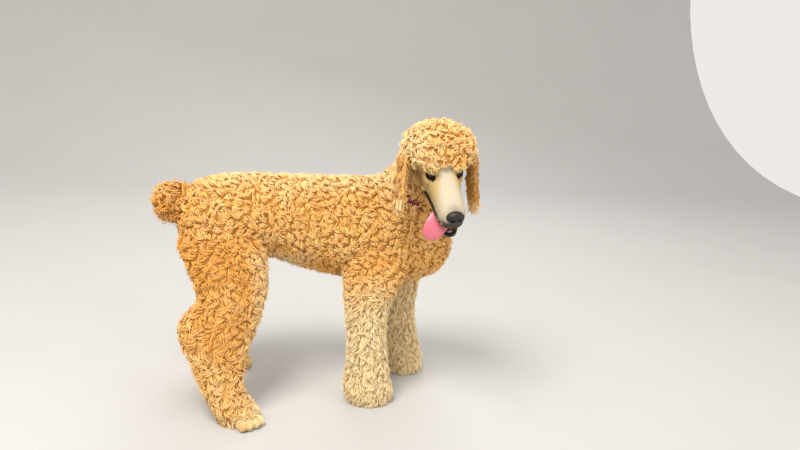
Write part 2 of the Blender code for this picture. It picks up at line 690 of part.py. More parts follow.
def make_head():
    head = loft("head", rings_along_x(SKULL, 10), HEAD, PARTS)
    for side in (1, -1):
        join(head, lid_ring(side))
        join(head, tube("lip", lip_path(side, MOUTH_Z + 0.001), LIP_RADIUS, HEAD))
    middle, radii = TOPKNOT
    topknot = ball("topknot", middle, [radius - CORE_INSET for radius in radii], HEAD,
                   CUTTERS, 14, 8)
    faces = triangles(topknot)
    join(head, topknot)
    grow_curls(head, faces, TOPKNOT_CURLS, 12, pom_lie, on_topknot, HEAD)
    under_skull = lower_half("neck_space", TOP_PLANE, -GAP / 2, NECK_REACH, NECK_SIDE)
    jaw_space = box_cutter("jaw_space", (JAW_HINGE[0], -HALF_JAW, -HALF_JAW),
                           (MUZZLE_END, HALF_JAW, MOUTH_Z), HEAD)
    for cutter in [under_skull, jaw_space] + EAR_BEDS:
        boolean(head, cutter)
    cut(head, ball("pad_bed", NOSE_AT, [radius + GAP for radius in NOSE_RADII], HEAD, CUTTERS,
                   12, 7))
    cut(head, ball("palate", *PALATE, HEAD, CUTTERS, 12, 8))
    for side, name in ((1, "eye_left"), (-1, "eye_right")):
        x, y, z = EYE_AT
        cut(head, ball("socket", (x, side * y, z), (EYE_RADIUS + GAP,) * 3, HEAD, CUTTERS,
                       10, 7))
        part_node(ball(name, (x, side * y, z), (EYE_RADIUS,) * 3, HEAD, PARTS, 10, 7), "eye")
    return part_node(head, "coat")


def make_nose():
    nose = ball("nose", NOSE_AT, NOSE_RADII, HEAD, PARTS, 12, 7)
    (x, y, z), radii = NOSTRIL
    for side in (-1, 1):
        cut(nose, ball("nostril", (x, side * y, z), radii, HEAD, CUTTERS, 8, 5))
    return part_node(nose, "nose")


def tongue_shape(name, collection, extra=0.0):
    """Out of the mouth and down over the right lip, its broad side to the front."""
    rings = []
    for middle, direction, upper, half_wide, half_thick in TONGUE:
        along = Vector(direction).normalized()
        wide = along.cross(Vector(upper)).normalized()
        rings.append(ring(Vector(middle), wide * (half_wide + extra),
                          wide.cross(along) * (half_thick + extra), 8))
    return loft(name, rings, HEAD, collection)


def make_jaw():
    jaw = loft("jaw", rings_along_x(JAW, 8), JAW_FRAME, PARTS)
    back, inward, down = LOWER_LIP_INSET
    for side in (1, -1):
        path = [(x - JAW_HINGE[0] - back, side * max(y - inward, 0), -down)
                for x, y in UPPER_LIP]
        join(jaw, tube("lower_lip", path, LOWER_LIP_RADIUS, JAW_FRAME))
    space = box_cutter("jaw_own", (JAW_HINGE[0] + GAP, -HALF_JAW, -JAW_DEPTH),
                       (MUZZLE_END, HALF_JAW, MOUTH_Z - GAP), HEAD)
    boolean(jaw, space, "INTERSECT")
    cut(jaw, ball("mouth_floor", *MOUTH_FLOOR, JAW_FRAME, CUTTERS, 12, 8))
    cut(jaw, tongue_shape("tongue_bed", CUTTERS, 2 * GAP))
    return part_node(jaw, "face")


clear_scene()
PARTS = new_collection("standard_poodle")
CUTTERS = new_collection("cutters")
CURLS = new_collection("curls")

DOG = empty("dog", None, (-STAND_CENTRE[0], -STAND_CENTRE[1], 0.0))
HEAD = empty("head_frame", DOG, HEAD_AT, HEAD_TURN)
JAW_FRAME = empty("jaw_frame", HEAD, JAW_HINGE, (0, JAW_OPEN, 0))
ELBOW_PLANE = empty("elbow_plane", DOG, (0, 0, ELBOW_Z))
PAW_PLANE = empty("paw_plane", DOG, (0, 0, PAW_Z))
(flank_x, flank_z), (rump_x, rump_z) = HIND_CUT
HIND_PLANE = empty("hind_plane", DOG, (flank_x, 0, flank_z),
                   (0, math.atan2(rump_z - flank_z, flank_x - rump_x), 0))
BASE_PLANE = plane_frame("neck_base_plane", *NECK_BASE)
TOP_PLANE = plane_frame("neck_top_plane", *NECK_TOP)
COLLAR_PLANE = plane_frame("collar_plane", *COLLAR_AT)
EAR_FRAMES = {side: ear_frame(side) for side in (1, -1)}
EAR_BEDS = [ear_space(f"ear_bed_{side}", side, GAP) for side in (1, -1)]

UNDER_FLOOR = box_cutter("under_floor", (-BIG, -BIG, -BIG), (BIG, BIG, 0.0), DOG)
ABOVE_PAWS = upper_half("above_paws", PAW_PLANE, GAP / 2)
IN_PAWS = lower_half("in_paws", PAW_PLANE, GAP / 2)
FORE_SPACE = box_cutter("fore_space", (FORELEG_REACH[0], -BIG, -BIG),
                        (FORELEG_REACH[1], BIG, GAP / 2), ELBOW_PLANE)
HIND_SPACE = box_cutter("hind_space", (HINDLEG_REACH[0], -BIG, -BIG),
                        (HINDLEG_REACH[1] + GAP, BIG, GAP / 2), HIND_PLANE)

room = TAIL_RADIUS + TAIL_ROOM
TAIL_SPACE = as_cutter(ball("tail_space", TAIL_POM, (room,) * 3, DOG, CUTTERS, 20, 12))
boolean(TAIL_SPACE, box_cutter("past_root", (TAIL_ROOT_X - GAP, -BIG, 0), (BIG, BIG, BIG), DOG))
TAIL_BED = as_cutter(ball("tail_bed", TAIL_POM, (room + GAP,) * 3, DOG, CUTTERS, 20, 12))
boolean(TAIL_BED, box_cutter("past_bed", (TAIL_ROOT_X, -BIG, 0), (BIG, BIG, BIG), DOG))

body = make_body()

collar_inner = COLLAR_RADII[1] - CORE_INSET
collar_bed = as_cutter(hoop("collar_bed", collar_inner, COLLAR_BED, COLLAR_WIDTH + 2 * GAP,
                            COLLAR_PLANE, CUTTERS))
part_node(hoop("collar", collar_inner + GAP, collar_inner + GAP + COLLAR_THICK, COLLAR_WIDTH,
               COLLAR_PLANE, PARTS), "collar")

neck = share_out(body, "neck", upper_half("above_base", BASE_PLANE, GAP / 2),
                 EAR_BEDS + [collar_bed])
boolean(neck, lower_half("below_top", TOP_PLANE, GAP / 2), "INTERSECT")
part_node(neck, "coat")
part_node(share_out(body, "tail", TAIL_SPACE), "coat")
for leg_name, plane, reach in (("foreleg", ELBOW_PLANE, FORELEG_REACH),
                               ("hindleg", HIND_PLANE, HINDLEG_REACH)):
    make_leg(body, leg_name + "_left", plane, reach, 1)
    make_leg(body, leg_name + "_right", plane, reach, -1)
body.name = "torso"
for cutter in (upper_half("not_neck", BASE_PLANE, -GAP / 2), FORE_SPACE, HIND_SPACE, TAIL_BED):
    boolean(body, cutter)
part_node(body, "coat")

make_head()
make_nose()
make_jaw()
part_node(tongue_shape("tongue", PARTS), "tongue")
make_ear("ear_left", 1)
make_ear("ear_right", -1)
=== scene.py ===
# %% [markdown]
# # A standing standard poodle
# This lesson dresses a finished solid model of a poodle. The solids come from a CAD pack
# and already have the right size, pose and weight. Here they get a skin, a curly coat, a
# face with wet eyes and nose, a tongue and a collar. The imported solids are loaded first.

# %% Load the solids
import math
import random
from itertools import pairwise

import bmesh
import bpy
import numpy as np
from mathutils import Euler, Matrix, Vector
from mathutils.bvhtree import BVHTree
from mathutils.kdtree import KDTree


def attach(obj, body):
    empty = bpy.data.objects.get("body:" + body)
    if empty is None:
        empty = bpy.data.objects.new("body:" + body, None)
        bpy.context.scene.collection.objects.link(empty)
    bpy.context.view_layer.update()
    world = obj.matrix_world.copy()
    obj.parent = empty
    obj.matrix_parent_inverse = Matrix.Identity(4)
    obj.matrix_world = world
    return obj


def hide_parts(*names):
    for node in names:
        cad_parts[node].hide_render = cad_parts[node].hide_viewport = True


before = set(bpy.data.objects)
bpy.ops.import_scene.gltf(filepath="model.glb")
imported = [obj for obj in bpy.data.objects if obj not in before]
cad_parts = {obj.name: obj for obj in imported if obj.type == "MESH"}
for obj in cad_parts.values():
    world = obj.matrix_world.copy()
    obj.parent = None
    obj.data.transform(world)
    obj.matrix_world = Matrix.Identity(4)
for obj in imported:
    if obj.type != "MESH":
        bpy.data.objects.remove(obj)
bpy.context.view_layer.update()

# %% [markdown]
# ## Two frames
# It is easier to think from under the dog's shoulders than from the middle of its box, so
# every place below is given from a point on the floor under the withers: +X to the chest,
# +Y to the left side, +Z up. `AT` moves such a place to the model's own frame. The head
# is turned and tilted, so it has a frame of its own, with +X down the nose.

# %% Frames
AT = Vector((0.1645, 0.0747, 0.0))
HEAD_AT = Vector((0.138, -0.170, 0.688))
HEAD_TURN = Euler((math.radians(8), math.radians(34), math.radians(-88.5)))
HEAD = Matrix.Translation(AT + HEAD_AT) @ HEAD_TURN.to_matrix().to_4x4()
BODY = Matrix.Translation(AT)
EYE_AT = (0.050, 0.034, 0.017)
EYE_RADIUS = 0.0115
EYE_LOOK = (0.80, 0.55, 0.10)
MOUTH_Z = -0.042
JAW_HINGE = (0.040, 0.0, MOUTH_Z)
JAW = HEAD @ Matrix.Translation(JAW_HINGE) @ Matrix.Rotation(math.radians(17), 4, "Y")
CORE = 0.013            # how far the skin lies inside the tips of the coat


def to_frame(matrix, points):
    """Points of the model, seen from another frame."""
    inverse = np.array(matrix.inverted())
    return points @ inverse[:3, :3].T + inverse[:3, 3]


def out_of_frame(matrix, points):
    turn = np.array(matrix)
    return points @ turn[:3, :3].T + turn[:3, 3]


# %% [markdown]
# ## Camera and light
# The photograph is taken from about the height of a standing adult's chest, looking down
# a little, with the camera slightly rolled. A lens of 31.5 mm gives the same view. The
# floor is pale and plain, and large soft lamps take the place of the high sun: the key is
# high on the left, so that the curls keep their small shadows.

# %% Camera
YAW, PITCH, ROLL = (math.radians(angle) for angle in (-15.0, 14.2, 4.5))
bpy.ops.object.select_all(action="DESELECT")
bpy.ops.object.camera_add(location=AT + Vector((-0.409, -1.868, 0.97)))
camera = bpy.context.object
camera.rotation_euler = (Matrix.Rotation(YAW, 3, "Z") @ Matrix.Rotation(math.pi / 2 - PITCH, 3, "X")
                         @ Matrix.Rotation(ROLL, 3, "Z")).to_euler()
camera.data.lens = 31.5
camera.data.sensor_width = 36.0
bpy.context.scene.camera = camera
print("camera", [round(v, 3) for v in camera.location])

# %% Floor and lamps
# The floor runs back and curves up into a wall, as a paper sweep does in a studio.
bpy.ops.mesh.primitive_plane_add(size=9.0, location=(0, 0.5, 0))
floor = bpy.context.object
floor.name = "floor"
bpy.ops.object.transform_apply(location=True)
bpy.ops.object.mode_set(mode="EDIT")
floor_mesh = bmesh.from_edit_mesh(floor.data)
for edge in floor_mesh.edges:
    edge.select = all(vert.co.y > 4.9 for vert in edge.verts)
floor_mesh.select_flush_mode()
bmesh.update_edit_mesh(floor.data)
bpy.ops.mesh.extrude_edges_move(TRANSFORM_OT_translate={"value": (0, 0, 5.0)})
bpy.ops.object.mode_set(mode="OBJECT")
sweep = floor.modifiers.new("sweep", "BEVEL")
sweep.width, sweep.segments = 2.2, 16
bpy.ops.object.modifier_apply(modifier="sweep")
bpy.ops.object.shade_smooth()


def lamp(name, place, aim, size, power, colour=(1, 1, 1)):
    """A square soft lamp that points from its place at a point of the dog."""
    bpy.ops.object.light_add(type="AREA", location=place)
    light = bpy.context.object
    light.name = name
    light.data.size = size
    light.data.energy = power
    light.data.color = colour
    light.rotation_euler = (Vector(aim) - Vector(place)).to_track_quat("-Z", "Y").to_euler()
    return light


lamp("key", (-1.3, -1.5, 3.7), (0.05, 0, 0.4), 1.5, 170, (1.0, 0.97, 0.92))
lamp("fill", (2.4, -2.6, 1.6), (0.1, 0, 0.4), 2.4, 30, (1.0, 0.98, 0.95))
lamp("back", (0.8, 2.6, 2.8), (0, 0, 0.5), 2.0, 45)
world = bpy.data.worlds.new("studio")
bpy.context.scene.world = world
world.use_nodes = True
world.node_tree.nodes["Background"].inputs["Color"].default_value = (1.0, 0.97, 0.93, 1.0)
world.node_tree.nodes["Background"].inputs["Strength"].default_value = 0.85
bpy.context.scene.view_settings.view_transform = "Standard"

# %% [markdown]
# ## Shader maths in Python
# A material is a graph of nodes. It reads better as a formula, so one small class wraps
# a socket and lets +, -, * and ** add the Math nodes. Any other node comes from `node`.

# %% Sockets and materials


class Socket:
    """A number that varies over a surface."""

    def __init__(self, material, output):
        self.material = material
        self.output = output

    def math(self, operation, *values, clamp=False):
        return self.material.node("Math", {"operation": operation, "use_clamp": clamp},
                                  dict(enumerate(values)))

    def __add__(self, other):
        return self.math("ADD", self, other)

    def __radd__(self, other):
        return self.math("ADD", other, self)

    def __sub__(self, other):
        return self.math("SUBTRACT", self, other)

    def __rsub__(self, other):
        return self.math("SUBTRACT", other, self)

    def __mul__(self, other):
        return self.math("MULTIPLY", self, other)

    def __rmul__(self, other):
        return self.math("MULTIPLY", other, self)

    def __pow__(self, other):
        return self.math("POWER", self, other)

    def clamp(self):
        return self.math("ADD", self, 0.0, clamp=True)

    def between(self, low, high):
        """0 below low, 1 above high, and a straight rise from one to the other."""
        return self.math("MULTIPLY", self - low, 1 / (high - low), clamp=True)


class Finish:
    """A new Principled material, with short ways to add nodes to it."""

    def __init__(self, name, **constants):
        self.data = bpy.data.materials.new(name)
        self.data.use_nodes = True
        self.tree = self.data.node_tree
        self.shader = self.tree.nodes["Principled BSDF"]
        for socket, value in constants.items():
            self.shader.inputs[socket.replace("_", " ")].default_value = value

    def connect(self, value, socket):
        if isinstance(value, Socket):
            self.tree.links.new(value.output, socket)
        elif hasattr(value, "__len__") and len(value) == 3 and len(socket.default_value) == 4:
            socket.default_value = (*value, 1.0)
        else:
            socket.default_value = value

    def node(self, kind, settings=None, values=None, output=0):
        new = self.tree.nodes.new("ShaderNode" + kind)
        for key, value in (settings or {}).items():
            setattr(new, key, value)
        for key, value in (values or {}).items():
            self.connect(value, new.inputs[key])
        return Socket(self, new.outputs[output])

    def place(self):
        return self.node("TexCoord", output="Object")

    def attribute(self, name):
        return self.node("Attribute", {"attribute_name": name}, output="Fac")

    def noise(self, scale, detail=3.0, rough=0.5, vector=None):
        return self.node("TexNoise", {}, {"Vector": vector or self.place(), "Scale": scale,
                                          "Detail": detail, "Roughness": rough}, "Fac")

    def mix(self, factor, first, second):
        new = self.tree.nodes.new("ShaderNodeMix")
        new.data_type = "RGBA"
        self.connect(factor, new.inputs[0])
        self.connect(first, new.inputs[6])
        self.connect(second, new.inputs[7])
        return Socket(self, new.outputs[2])

    def bump(self, height, distance, strength=1.0):
        normal = self.node("Bump", {}, {"Height": height, "Distance": distance,
                                        "Strength": strength})
        self.tree.links.new(normal.output, self.shader.inputs["Normal"])

    def set(self, name, value):
        self.connect(value, self.shader.inputs[name])


def wear(piece, finish):
    """Gives a piece one material."""
    piece.data.materials.clear()
    piece.data.materials.append(finish.data)


paper = Finish("pale_floor", Roughness=0.9)
paper.set("Base Color", paper.mix(paper.noise(3.0), (0.47, 0.465, 0.455), (0.50, 0.495, 0.485)))
wear(floor, paper)

# %% [markdown]
# ## Soft forms through sections
# Flesh has no straight edges, so each limb is a tube through cross-sections: a grid is
# added as a primitive, its points are set on the sections, its seam is merged and its
# ends are closed. The sections are few, and a smooth curve fills in the ones between.

# %% Tubes


def smooth_rows(rows, steps):
    """More rows on a Catmull-Rom curve through the given ones."""
    rows = np.array(rows, dtype=float)
    padded = np.vstack((2 * rows[0] - rows[1], rows, 2 * rows[-1] - rows[-2]))
    result = []
    for a, b, c, d in zip(padded, padded[1:], padded[2:], padded[3:]):
        for t in np.linspace(0, 1, steps, endpoint=False):
            result.append(0.5 * (2 * b + (c - a) * t + (2 * a - 5 * b + 4 * c - d) * t ** 2
                                 + (3 * b - a - 3 * c + d) * t ** 3))
    return np.array(result + [rows[-1]])


def tube(name, rings, matrix=BODY):
    """A closed tube through rings of points."""
    rings = np.array(rings)
    count, sides = rings.shape[:2]
    bpy.ops.object.select_all(action="DESELECT")
    bpy.ops.mesh.primitive_grid_add(x_subdivisions=sides, y_subdivisions=count - 1)
    piece = bpy.context.object
    piece.name = name
    closed = np.concatenate((rings, rings[:, :1]), axis=1).reshape(-1, 3)
    piece.data.vertices.foreach_set("co", out_of_frame(matrix, closed).ravel())
    bpy.ops.object.mode_set(mode="EDIT")
    bpy.ops.mesh.select_all(action="SELECT")
    bpy.ops.mesh.remove_doubles(threshold=0.00001)
    bpy.ops.mesh.fill_holes(sides=0)
    bpy.ops.mesh.normals_make_consistent(inside=False)
    bpy.ops.object.mode_set(mode="OBJECT")
    return piece


def ellipses(middles, firsts, seconds, sides=24, power=2.0):
    """Rings round rows of middles; a power above 2 makes them squarer."""
    angles = np.linspace(0, 2 * np.pi, sides, endpoint=False)
    cos, sin = np.cos(angles), np.sin(angles)
    round_to = (np.abs(cos) ** power + np.abs(sin) ** power) ** (-1 / power)
    spread_first = (cos * round_to)[None, :, None] * np.array(firsts)[:, None, :]
    spread_second = (sin * round_to)[None, :, None] * np.array(seconds)[:, None, :]
    return np.array(middles)[:, None, :] + spread_first + spread_second


def along_x(rows, inset=0.0, steps=4, power=2.0):
    """Rings from rows of x, top, bottom and half width."""
    x, top, bottom, half = smooth_rows(rows, steps).T
    none = np.zeros_like(x)
    return ellipses(np.stack((x, none, (top + bottom) / 2), 1),
                    np.stack((none, half - inset, none), 1),
                    np.stack((none, none, (top - bottom) / 2 - inset), 1), power=power)


def along_z(rows, inset=0.0, steps=4):
    """Rings from rows of z, back, front, middle y and half y."""
    z, back, front, y, half = smooth_rows(rows, steps).T
    none = np.zeros_like(z)
    return ellipses(np.stack(((back + front) / 2, y, z), 1),
                    np.stack(((front - back) / 2 - inset, none, none), 1),
                    np.stack((none, half - inset, none), 1))


def along_line(rows, inset=0.0, steps=4, sides=24):
    """Rings from rows of middle, direction, wide direction, half width, half thickness."""
    table = smooth_rows([[*m, *d, *w, a, b] for m, d, w, a, b in rows], steps)
    middles, directions, wides = table[:, 0:3], table[:, 3:6], table[:, 6:9]
    directions /= np.linalg.norm(directions, axis=1)[:, None]
    wides -= directions * (wides * directions).sum(1)[:, None]
    wides /= np.linalg.norm(wides, axis=1)[:, None]
    thick = np.cross(directions, wides)
    return ellipses(middles, wides * (table[:, 9:10] - inset), thick * (table[:, 10:11] - inset),
                    sides)


def ball(name, middle, radii, matrix=BODY, segments=32, turn=None):
    """A sphere, stretched to its radii and put in its frame."""
    bpy.ops.object.select_all(action="DESELECT")
    bpy.ops.mesh.primitive_uv_sphere_add(segments=segments, ring_count=segments // 2)
    piece = bpy.context.object
    piece.name = name
    shape = Matrix.Diagonal((*radii, 1.0))
    if turn is not None:
        shape = turn.to_4x4() @ shape
    piece.data.transform(matrix @ Matrix.Translation(middle) @ shape)
    return piece


# %% [markdown]
# ## The body under the coat
# Trunk, neck, legs and tail are given to the tips of the curls, as the photograph shows
# them, and the skin lies a coat's core deeper. The same sections made the solids.

# %% Sections of the body
TORSO = ((-0.502, 0.545, 0.455, 0.050), (-0.490, 0.570, 0.430, 0.080),
         (-0.454, 0.600, 0.400, 0.104), (-0.390, 0.615, 0.385, 0.114),
         (-0.320, 0.619, 0.386, 0.108), (-0.260, 0.621, 0.384, 0.098),
         (-0.180, 0.621, 0.356, 0.102), (-0.100, 0.620, 0.336, 0.111),
         (-0.020, 0.622, 0.324, 0.118), (0.050, 0.628, 0.320, 0.118),
         (0.110, 0.600, 0.318, 0.112), (0.165, 0.550, 0.326, 0.098),
         (0.208, 0.510, 0.350, 0.078), (0.230, 0.475, 0.396, 0.046))
LEGS = {
    "foreleg_right": ((0.460, -0.060, 0.110, -0.060, 0.050), (0.400, -0.085, 0.110, -0.072, 0.056),
                      (0.340, -0.084, 0.090, -0.084, 0.058), (0.270, -0.076, 0.056, -0.094, 0.054),
                      (0.190, -0.067, 0.052, -0.101, 0.052), (0.120, -0.063, 0.060, -0.106, 0.056),
                      (0.060, -0.070, 0.070, -0.110, 0.063), (0.022, -0.066, 0.080, -0.112, 0.064),
                      (-0.014, -0.052, 0.070, -0.112, 0.056)),
    "foreleg_left": ((0.460, -0.010, 0.150, 0.060, 0.050), (0.400, 0.000, 0.185, 0.072, 0.056),
                     (0.340, 0.022, 0.195, 0.082, 0.056), (0.270, 0.058, 0.188, 0.086, 0.054),
                     (0.190, 0.068, 0.183, 0.084, 0.052), (0.120, 0.078, 0.195, 0.080, 0.056),
                     (0.060, 0.083, 0.212, 0.076, 0.062), (0.022, 0.086, 0.218, 0.074, 0.064),
                     (-0.014, 0.098, 0.208, 0.074, 0.056)),
    "hindleg_right": ((0.530, -0.450, -0.330, -0.050, 0.040), (0.460, -0.513, -0.290, -0.066, 0.058),
                      (0.400, -0.497, -0.278, -0.084, 0.068), (0.345, -0.475, -0.277, -0.100, 0.066),
                      (0.300, -0.466, -0.284, -0.114, 0.062), (0.262, -0.500, -0.292, -0.126, 0.056),
                      (0.226, -0.512, -0.306, -0.138, 0.052), (0.184, -0.497, -0.322, -0.150, 0.050),
                      (0.140, -0.474, -0.332, -0.162, 0.049), (0.084, -0.450, -0.334, -0.176, 0.050),
                      (0.046, -0.430, -0.312, -0.187, 0.052), (0.018, -0.414, -0.292, -0.192, 0.050),
                      (-0.014, -0.402, -0.300, -0.194, 0.044)),
    "hindleg_left": ((0.530, -0.450, -0.330, 0.050, 0.040), (0.460, -0.505, -0.290, 0.066, 0.058),
                     (0.400, -0.485, -0.278, 0.084, 0.068), (0.345, -0.464, -0.277, 0.096, 0.066),
                     (0.300, -0.454, -0.286, 0.104, 0.060), (0.262, -0.466, -0.300, 0.110, 0.054),
                     (0.226, -0.472, -0.320, 0.114, 0.050), (0.184, -0.468, -0.336, 0.118, 0.048),
                     (0.140, -0.462, -0.344, 0.121, 0.047), (0.084, -0.456, -0.346, 0.125, 0.048),
                     (0.046, -0.452, -0.342, 0.127, 0.050), (0.018, -0.448, -0.334, 0.129, 0.048),
                     (-0.014, -0.436, -0.342, 0.130, 0.044))}
NECK = (((0.070, 0.004, 0.480), (0.36, 0.00, 0.93), (0, 1, 0), 0.104, 0.112),
        ((0.088, 0.000, 0.545), (0.36, -0.10, 0.93), (0, 1, 0), 0.096, 0.103),
        ((0.104, -0.018, 0.598), (0.26, -0.32, 0.90), (0, 1, 0), 0.079, 0.083),
        ((0.119, -0.055, 0.640), (0.14, -0.60, 0.78), (0, 1, 0), 0.069, 0.071),
        ((0.130, -0.098, 0.674), (0.05, -0.70, 0.71), (0, 1, 0), 0.063, 0.064),
        ((0.134, -0.138, 0.706), (0.05, -0.70, 0.71), (0, 1, 0), 0.056, 0.056))
TAIL_POM = (-0.524, 0.0, 0.535)
TAIL_RADIUS = 0.056
TOES = (((-0.337, -0.211), math.radians(-60)), ((-0.352, 0.133), math.radians(8)))

# %% Trunk and legs
body_forms = [tube("torso_form", along_x(TORSO, CORE)), tube("neck_form", along_line(NECK, CORE))]
for leg_name, leg_rows in LEGS.items():
    body_forms.append(tube(leg_name + "_form", along_z(leg_rows, CORE)))
body_forms.append(ball("dock_form", (-0.480, 0, 0.545), (0.034, 0.024, 0.026)))
body_forms.append(ball("pom_form", TAIL_POM, [TAIL_RADIUS - 0.018] * 3))
for (toe_x, toe_y), way in TOES:
    for number in range(4):
        spread = number - 1.5
        aim = way + spread * math.radians(9)
        reach = 0.026 - 0.004 * abs(spread)
        middle = (toe_x + reach * math.cos(aim) - 0.013 * spread * math.sin(way),
                  toe_y + reach * math.sin(aim) + 0.013 * spread * math.cos(way), 0.0135)
        body_forms.append(ball("toe_form", middle, (0.024, 0.0100, 0.0150), segments=16,
                               turn=Matrix.Rotation(aim, 3, "Z")))
    body_forms.append(ball("foot_form", (toe_x, toe_y, 0.020), (0.030, 0.026, 0.022), segments=16,
                           turn=Matrix.Rotation(way, 3, "Z")))
print("body forms", len(body_forms))


# %% [markdown]
# ## One closed skin
# The forms overlap. Voxel Remesh melts them into one even skin, and a Smooth modifier
# softens the folds where they met, as flesh does. The head needs finer squares than the
# trunk, so the two are remeshed apart and joined by a Boolean.

# %% Remesh and smooth


def select_only(pieces):
    bpy.ops.object.select_all(action="DESELECT")
    for piece in pieces:
        piece.select_set(True)
    bpy.context.view_layer.objects.active = pieces[0]


def melt(name, pieces, voxel, smoothing):
    """Joins closed forms into one mesh of even squares."""
    select_only(pieces)
    bpy.ops.object.join()
    piece = bpy.context.object
    piece.name = name
    piece.data.remesh_voxel_size = voxel
    bpy.ops.object.voxel_remesh()
    soften = piece.modifiers.new("soften", "SMOOTH")
    soften.iterations = smoothing
    soften.factor = 0.5
    bpy.ops.object.modifier_apply(modifier="soften")
    print(name, len(piece.data.polygons), "faces")
    return piece


def combine(piece, other, operation):
    """Boolean with a piece that is used up."""
    select_only([piece])
    change = piece.modifiers.new("boolean", "BOOLEAN")
    change.operation = operation
    change.solver = "MANIFOLD"
    change.object = other
    bpy.ops.object.modifier_apply(modifier="boolean")
    bpy.data.objects.remove(other)
    return piece


body_skin = melt("body_skin", body_forms, 0.0055, 6)

# %% [markdown]
# ## The head
# A standard poodle has a long straight muzzle, a slight stop and flat cheeks, shaved
# close. The jaw hangs open in a pant. Lips are rolls laid along the mouth, and each lid
# is a thickening round the eye that an almond is cut out of, so the eye lies deep.

# %% Skull, muzzle and jaw
SKULL = ((-0.098, 0.025, -0.030, 0.024), (-0.080, 0.046, -0.052, 0.046),
         (-0.040, 0.058, -0.066, 0.060), (0.005, 0.056, -0.070, 0.061),
         (0.040, 0.044, -0.068, 0.050), (0.065, 0.030, -0.060, 0.041),
         (0.100, 0.022, -0.056, 0.036), (0.140, 0.017, -0.052, 0.034),
         (0.166, 0.012, -0.047, 0.031), (0.180, 0.004, -0.038, 0.022))
TOPKNOT = ((-0.026, 0.0, 0.030), (0.090, 0.102, 0.068))
UPPER_LIP = ((0.036, 0.050), (0.070, 0.041), (0.100, 0.0355), (0.135, 0.032), (0.160, 0.027),
             (0.174, 0.016), (0.179, 0.000))
JAW_ROWS = ((-0.030, 0.006, -0.034, 0.050), (0.000, 0.004, -0.032, 0.047),
            (0.035, 0.000, -0.026, 0.036), (0.070, 0.000, -0.021, 0.029),
            (0.105, 0.001, -0.018, 0.025), (0.128, 0.001, -0.014, 0.020),
            (0.138, 0.001, -0.009, 0.012))
LIP_RADIUS = 0.0045


def roll(name, points, radius, matrix):
    """A soft cord along a chain of points, for a lip."""
    directions = np.gradient(smooth_rows(points, 6), axis=0)
    middles = smooth_rows(points, 6)
    directions /= np.linalg.norm(directions, axis=1)[:, None]
    up = np.array((0.0, 0.0, 1.0))
    side = np.cross(directions, up)
    side /= np.linalg.norm(side, axis=1)[:, None]
    rings = ellipses(middles, side * radius, np.cross(side, directions) * radius, sides=12)
    return tube(name, rings, matrix)


middle, radii = TOPKNOT
upper = along_x([row for row in SKULL], power=2.3)
head_forms = [tube("skull_form", upper, HEAD),
              ball("topknot_form", middle, [r - 0.0125 for r in radii], HEAD)]
whole_lip = [(x, y, MOUTH_Z + 0.001) for x, y in UPPER_LIP]
whole_lip += [(x, -y, z) for x, y, z in reversed(whole_lip[:-1])]
head_forms.append(roll("upper_lip_form", whole_lip, LIP_RADIUS, HEAD))
for side in (1, -1):
    x, y, z = EYE_AT
    look = Vector((EYE_LOOK[0], side * EYE_LOOK[1], EYE_LOOK[2])).normalized()
    head_forms.append(ball("lids_form", Vector((x, side * y, z)) + look * 0.0008,
                           (EYE_RADIUS + 0.0026,) * 3, HEAD))
    head_forms.append(ball("brow_form", (x - 0.006, side * (y - 0.002), z + 0.020),
                           (0.020, 0.016, 0.010), HEAD))
    head_forms.append(ball("cheekbone_form", (x - 0.018, side * (y + 0.006), z - 0.020),
                           (0.034, 0.013, 0.013), HEAD))
head_skin = melt("head_skin", head_forms, 0.0022, 3)

# %% Carve the head
mouth_cut = tube("mouth_cut", along_x(((0.052, MOUTH_Z + 0.003, -0.075, 0.030),
                                       (0.090, MOUTH_Z + 0.008, -0.080, 0.024),
                                       (0.130, MOUTH_Z + 0.008, -0.080, 0.021),
                                       (0.160, MOUTH_Z + 0.004, -0.080, 0.016),
                                       (0.168, MOUTH_Z - 0.002, -0.080, 0.008))), HEAD)
combine(head_skin, mouth_cut, "DIFFERENCE")
bpy.ops.object.select_all(action="DESELECT")
bpy.ops.mesh.primitive_cube_add(size=1.0)
under_mouth = bpy.context.object
under_mouth.data.transform(HEAD @ Matrix.Translation((0.192, 0, MOUTH_Z - 0.0535))
                           @ Matrix.Diagonal((0.30, 0.20, 0.10, 1)))
combine(head_skin, under_mouth, "DIFFERENCE")
jaw_forms = [tube("jaw_form", along_x(JAW_ROWS), JAW)]
lower_lip = [(x - JAW_HINGE[0] - 0.004, y - 0.0065, -0.003) for x, y in UPPER_LIP[:-1]]
lower_lip += [(UPPER_LIP[-1][0] - JAW_HINGE[0] - 0.004, 0.0, -0.003)]
lower_lip += [(x, -y, z) for x, y, z in reversed(lower_lip[:-1])]
jaw_forms.append(roll("lower_lip_form", lower_lip, LIP_RADIUS * 0.8, JAW))
jaw_skin = melt("jaw_skin", jaw_forms, 0.0020, 2)
combine(jaw_skin, ball("mouth_floor", (0.064, 0, 0.004), (0.060, 0.019, 0.012), JAW), "DIFFERENCE")
combine(head_skin, jaw_skin, "UNION")
for side in (1, -1):
    x, y, z = EYE_AT
    look = Vector((EYE_LOOK[0], side * EYE_LOOK[1], EYE_LOOK[2])).normalized()
    eye = Vector((x, side * y, z))
    combine(head_skin, ball("socket", eye, (EYE_RADIUS + 0.0003,) * 3, HEAD), "DIFFERENCE")
    across = look.cross(Vector((0, 0, 1))).normalized()
    turn = Matrix((across, look, across.cross(look))).transposed()
    combine(head_skin, ball("almond", eye + look * EYE_RADIUS, (0.0126, 0.0110, 0.0060), HEAD,
                            turn=turn), "DIFFERENCE")
print("head", len(head_skin.data.polygons), "faces")
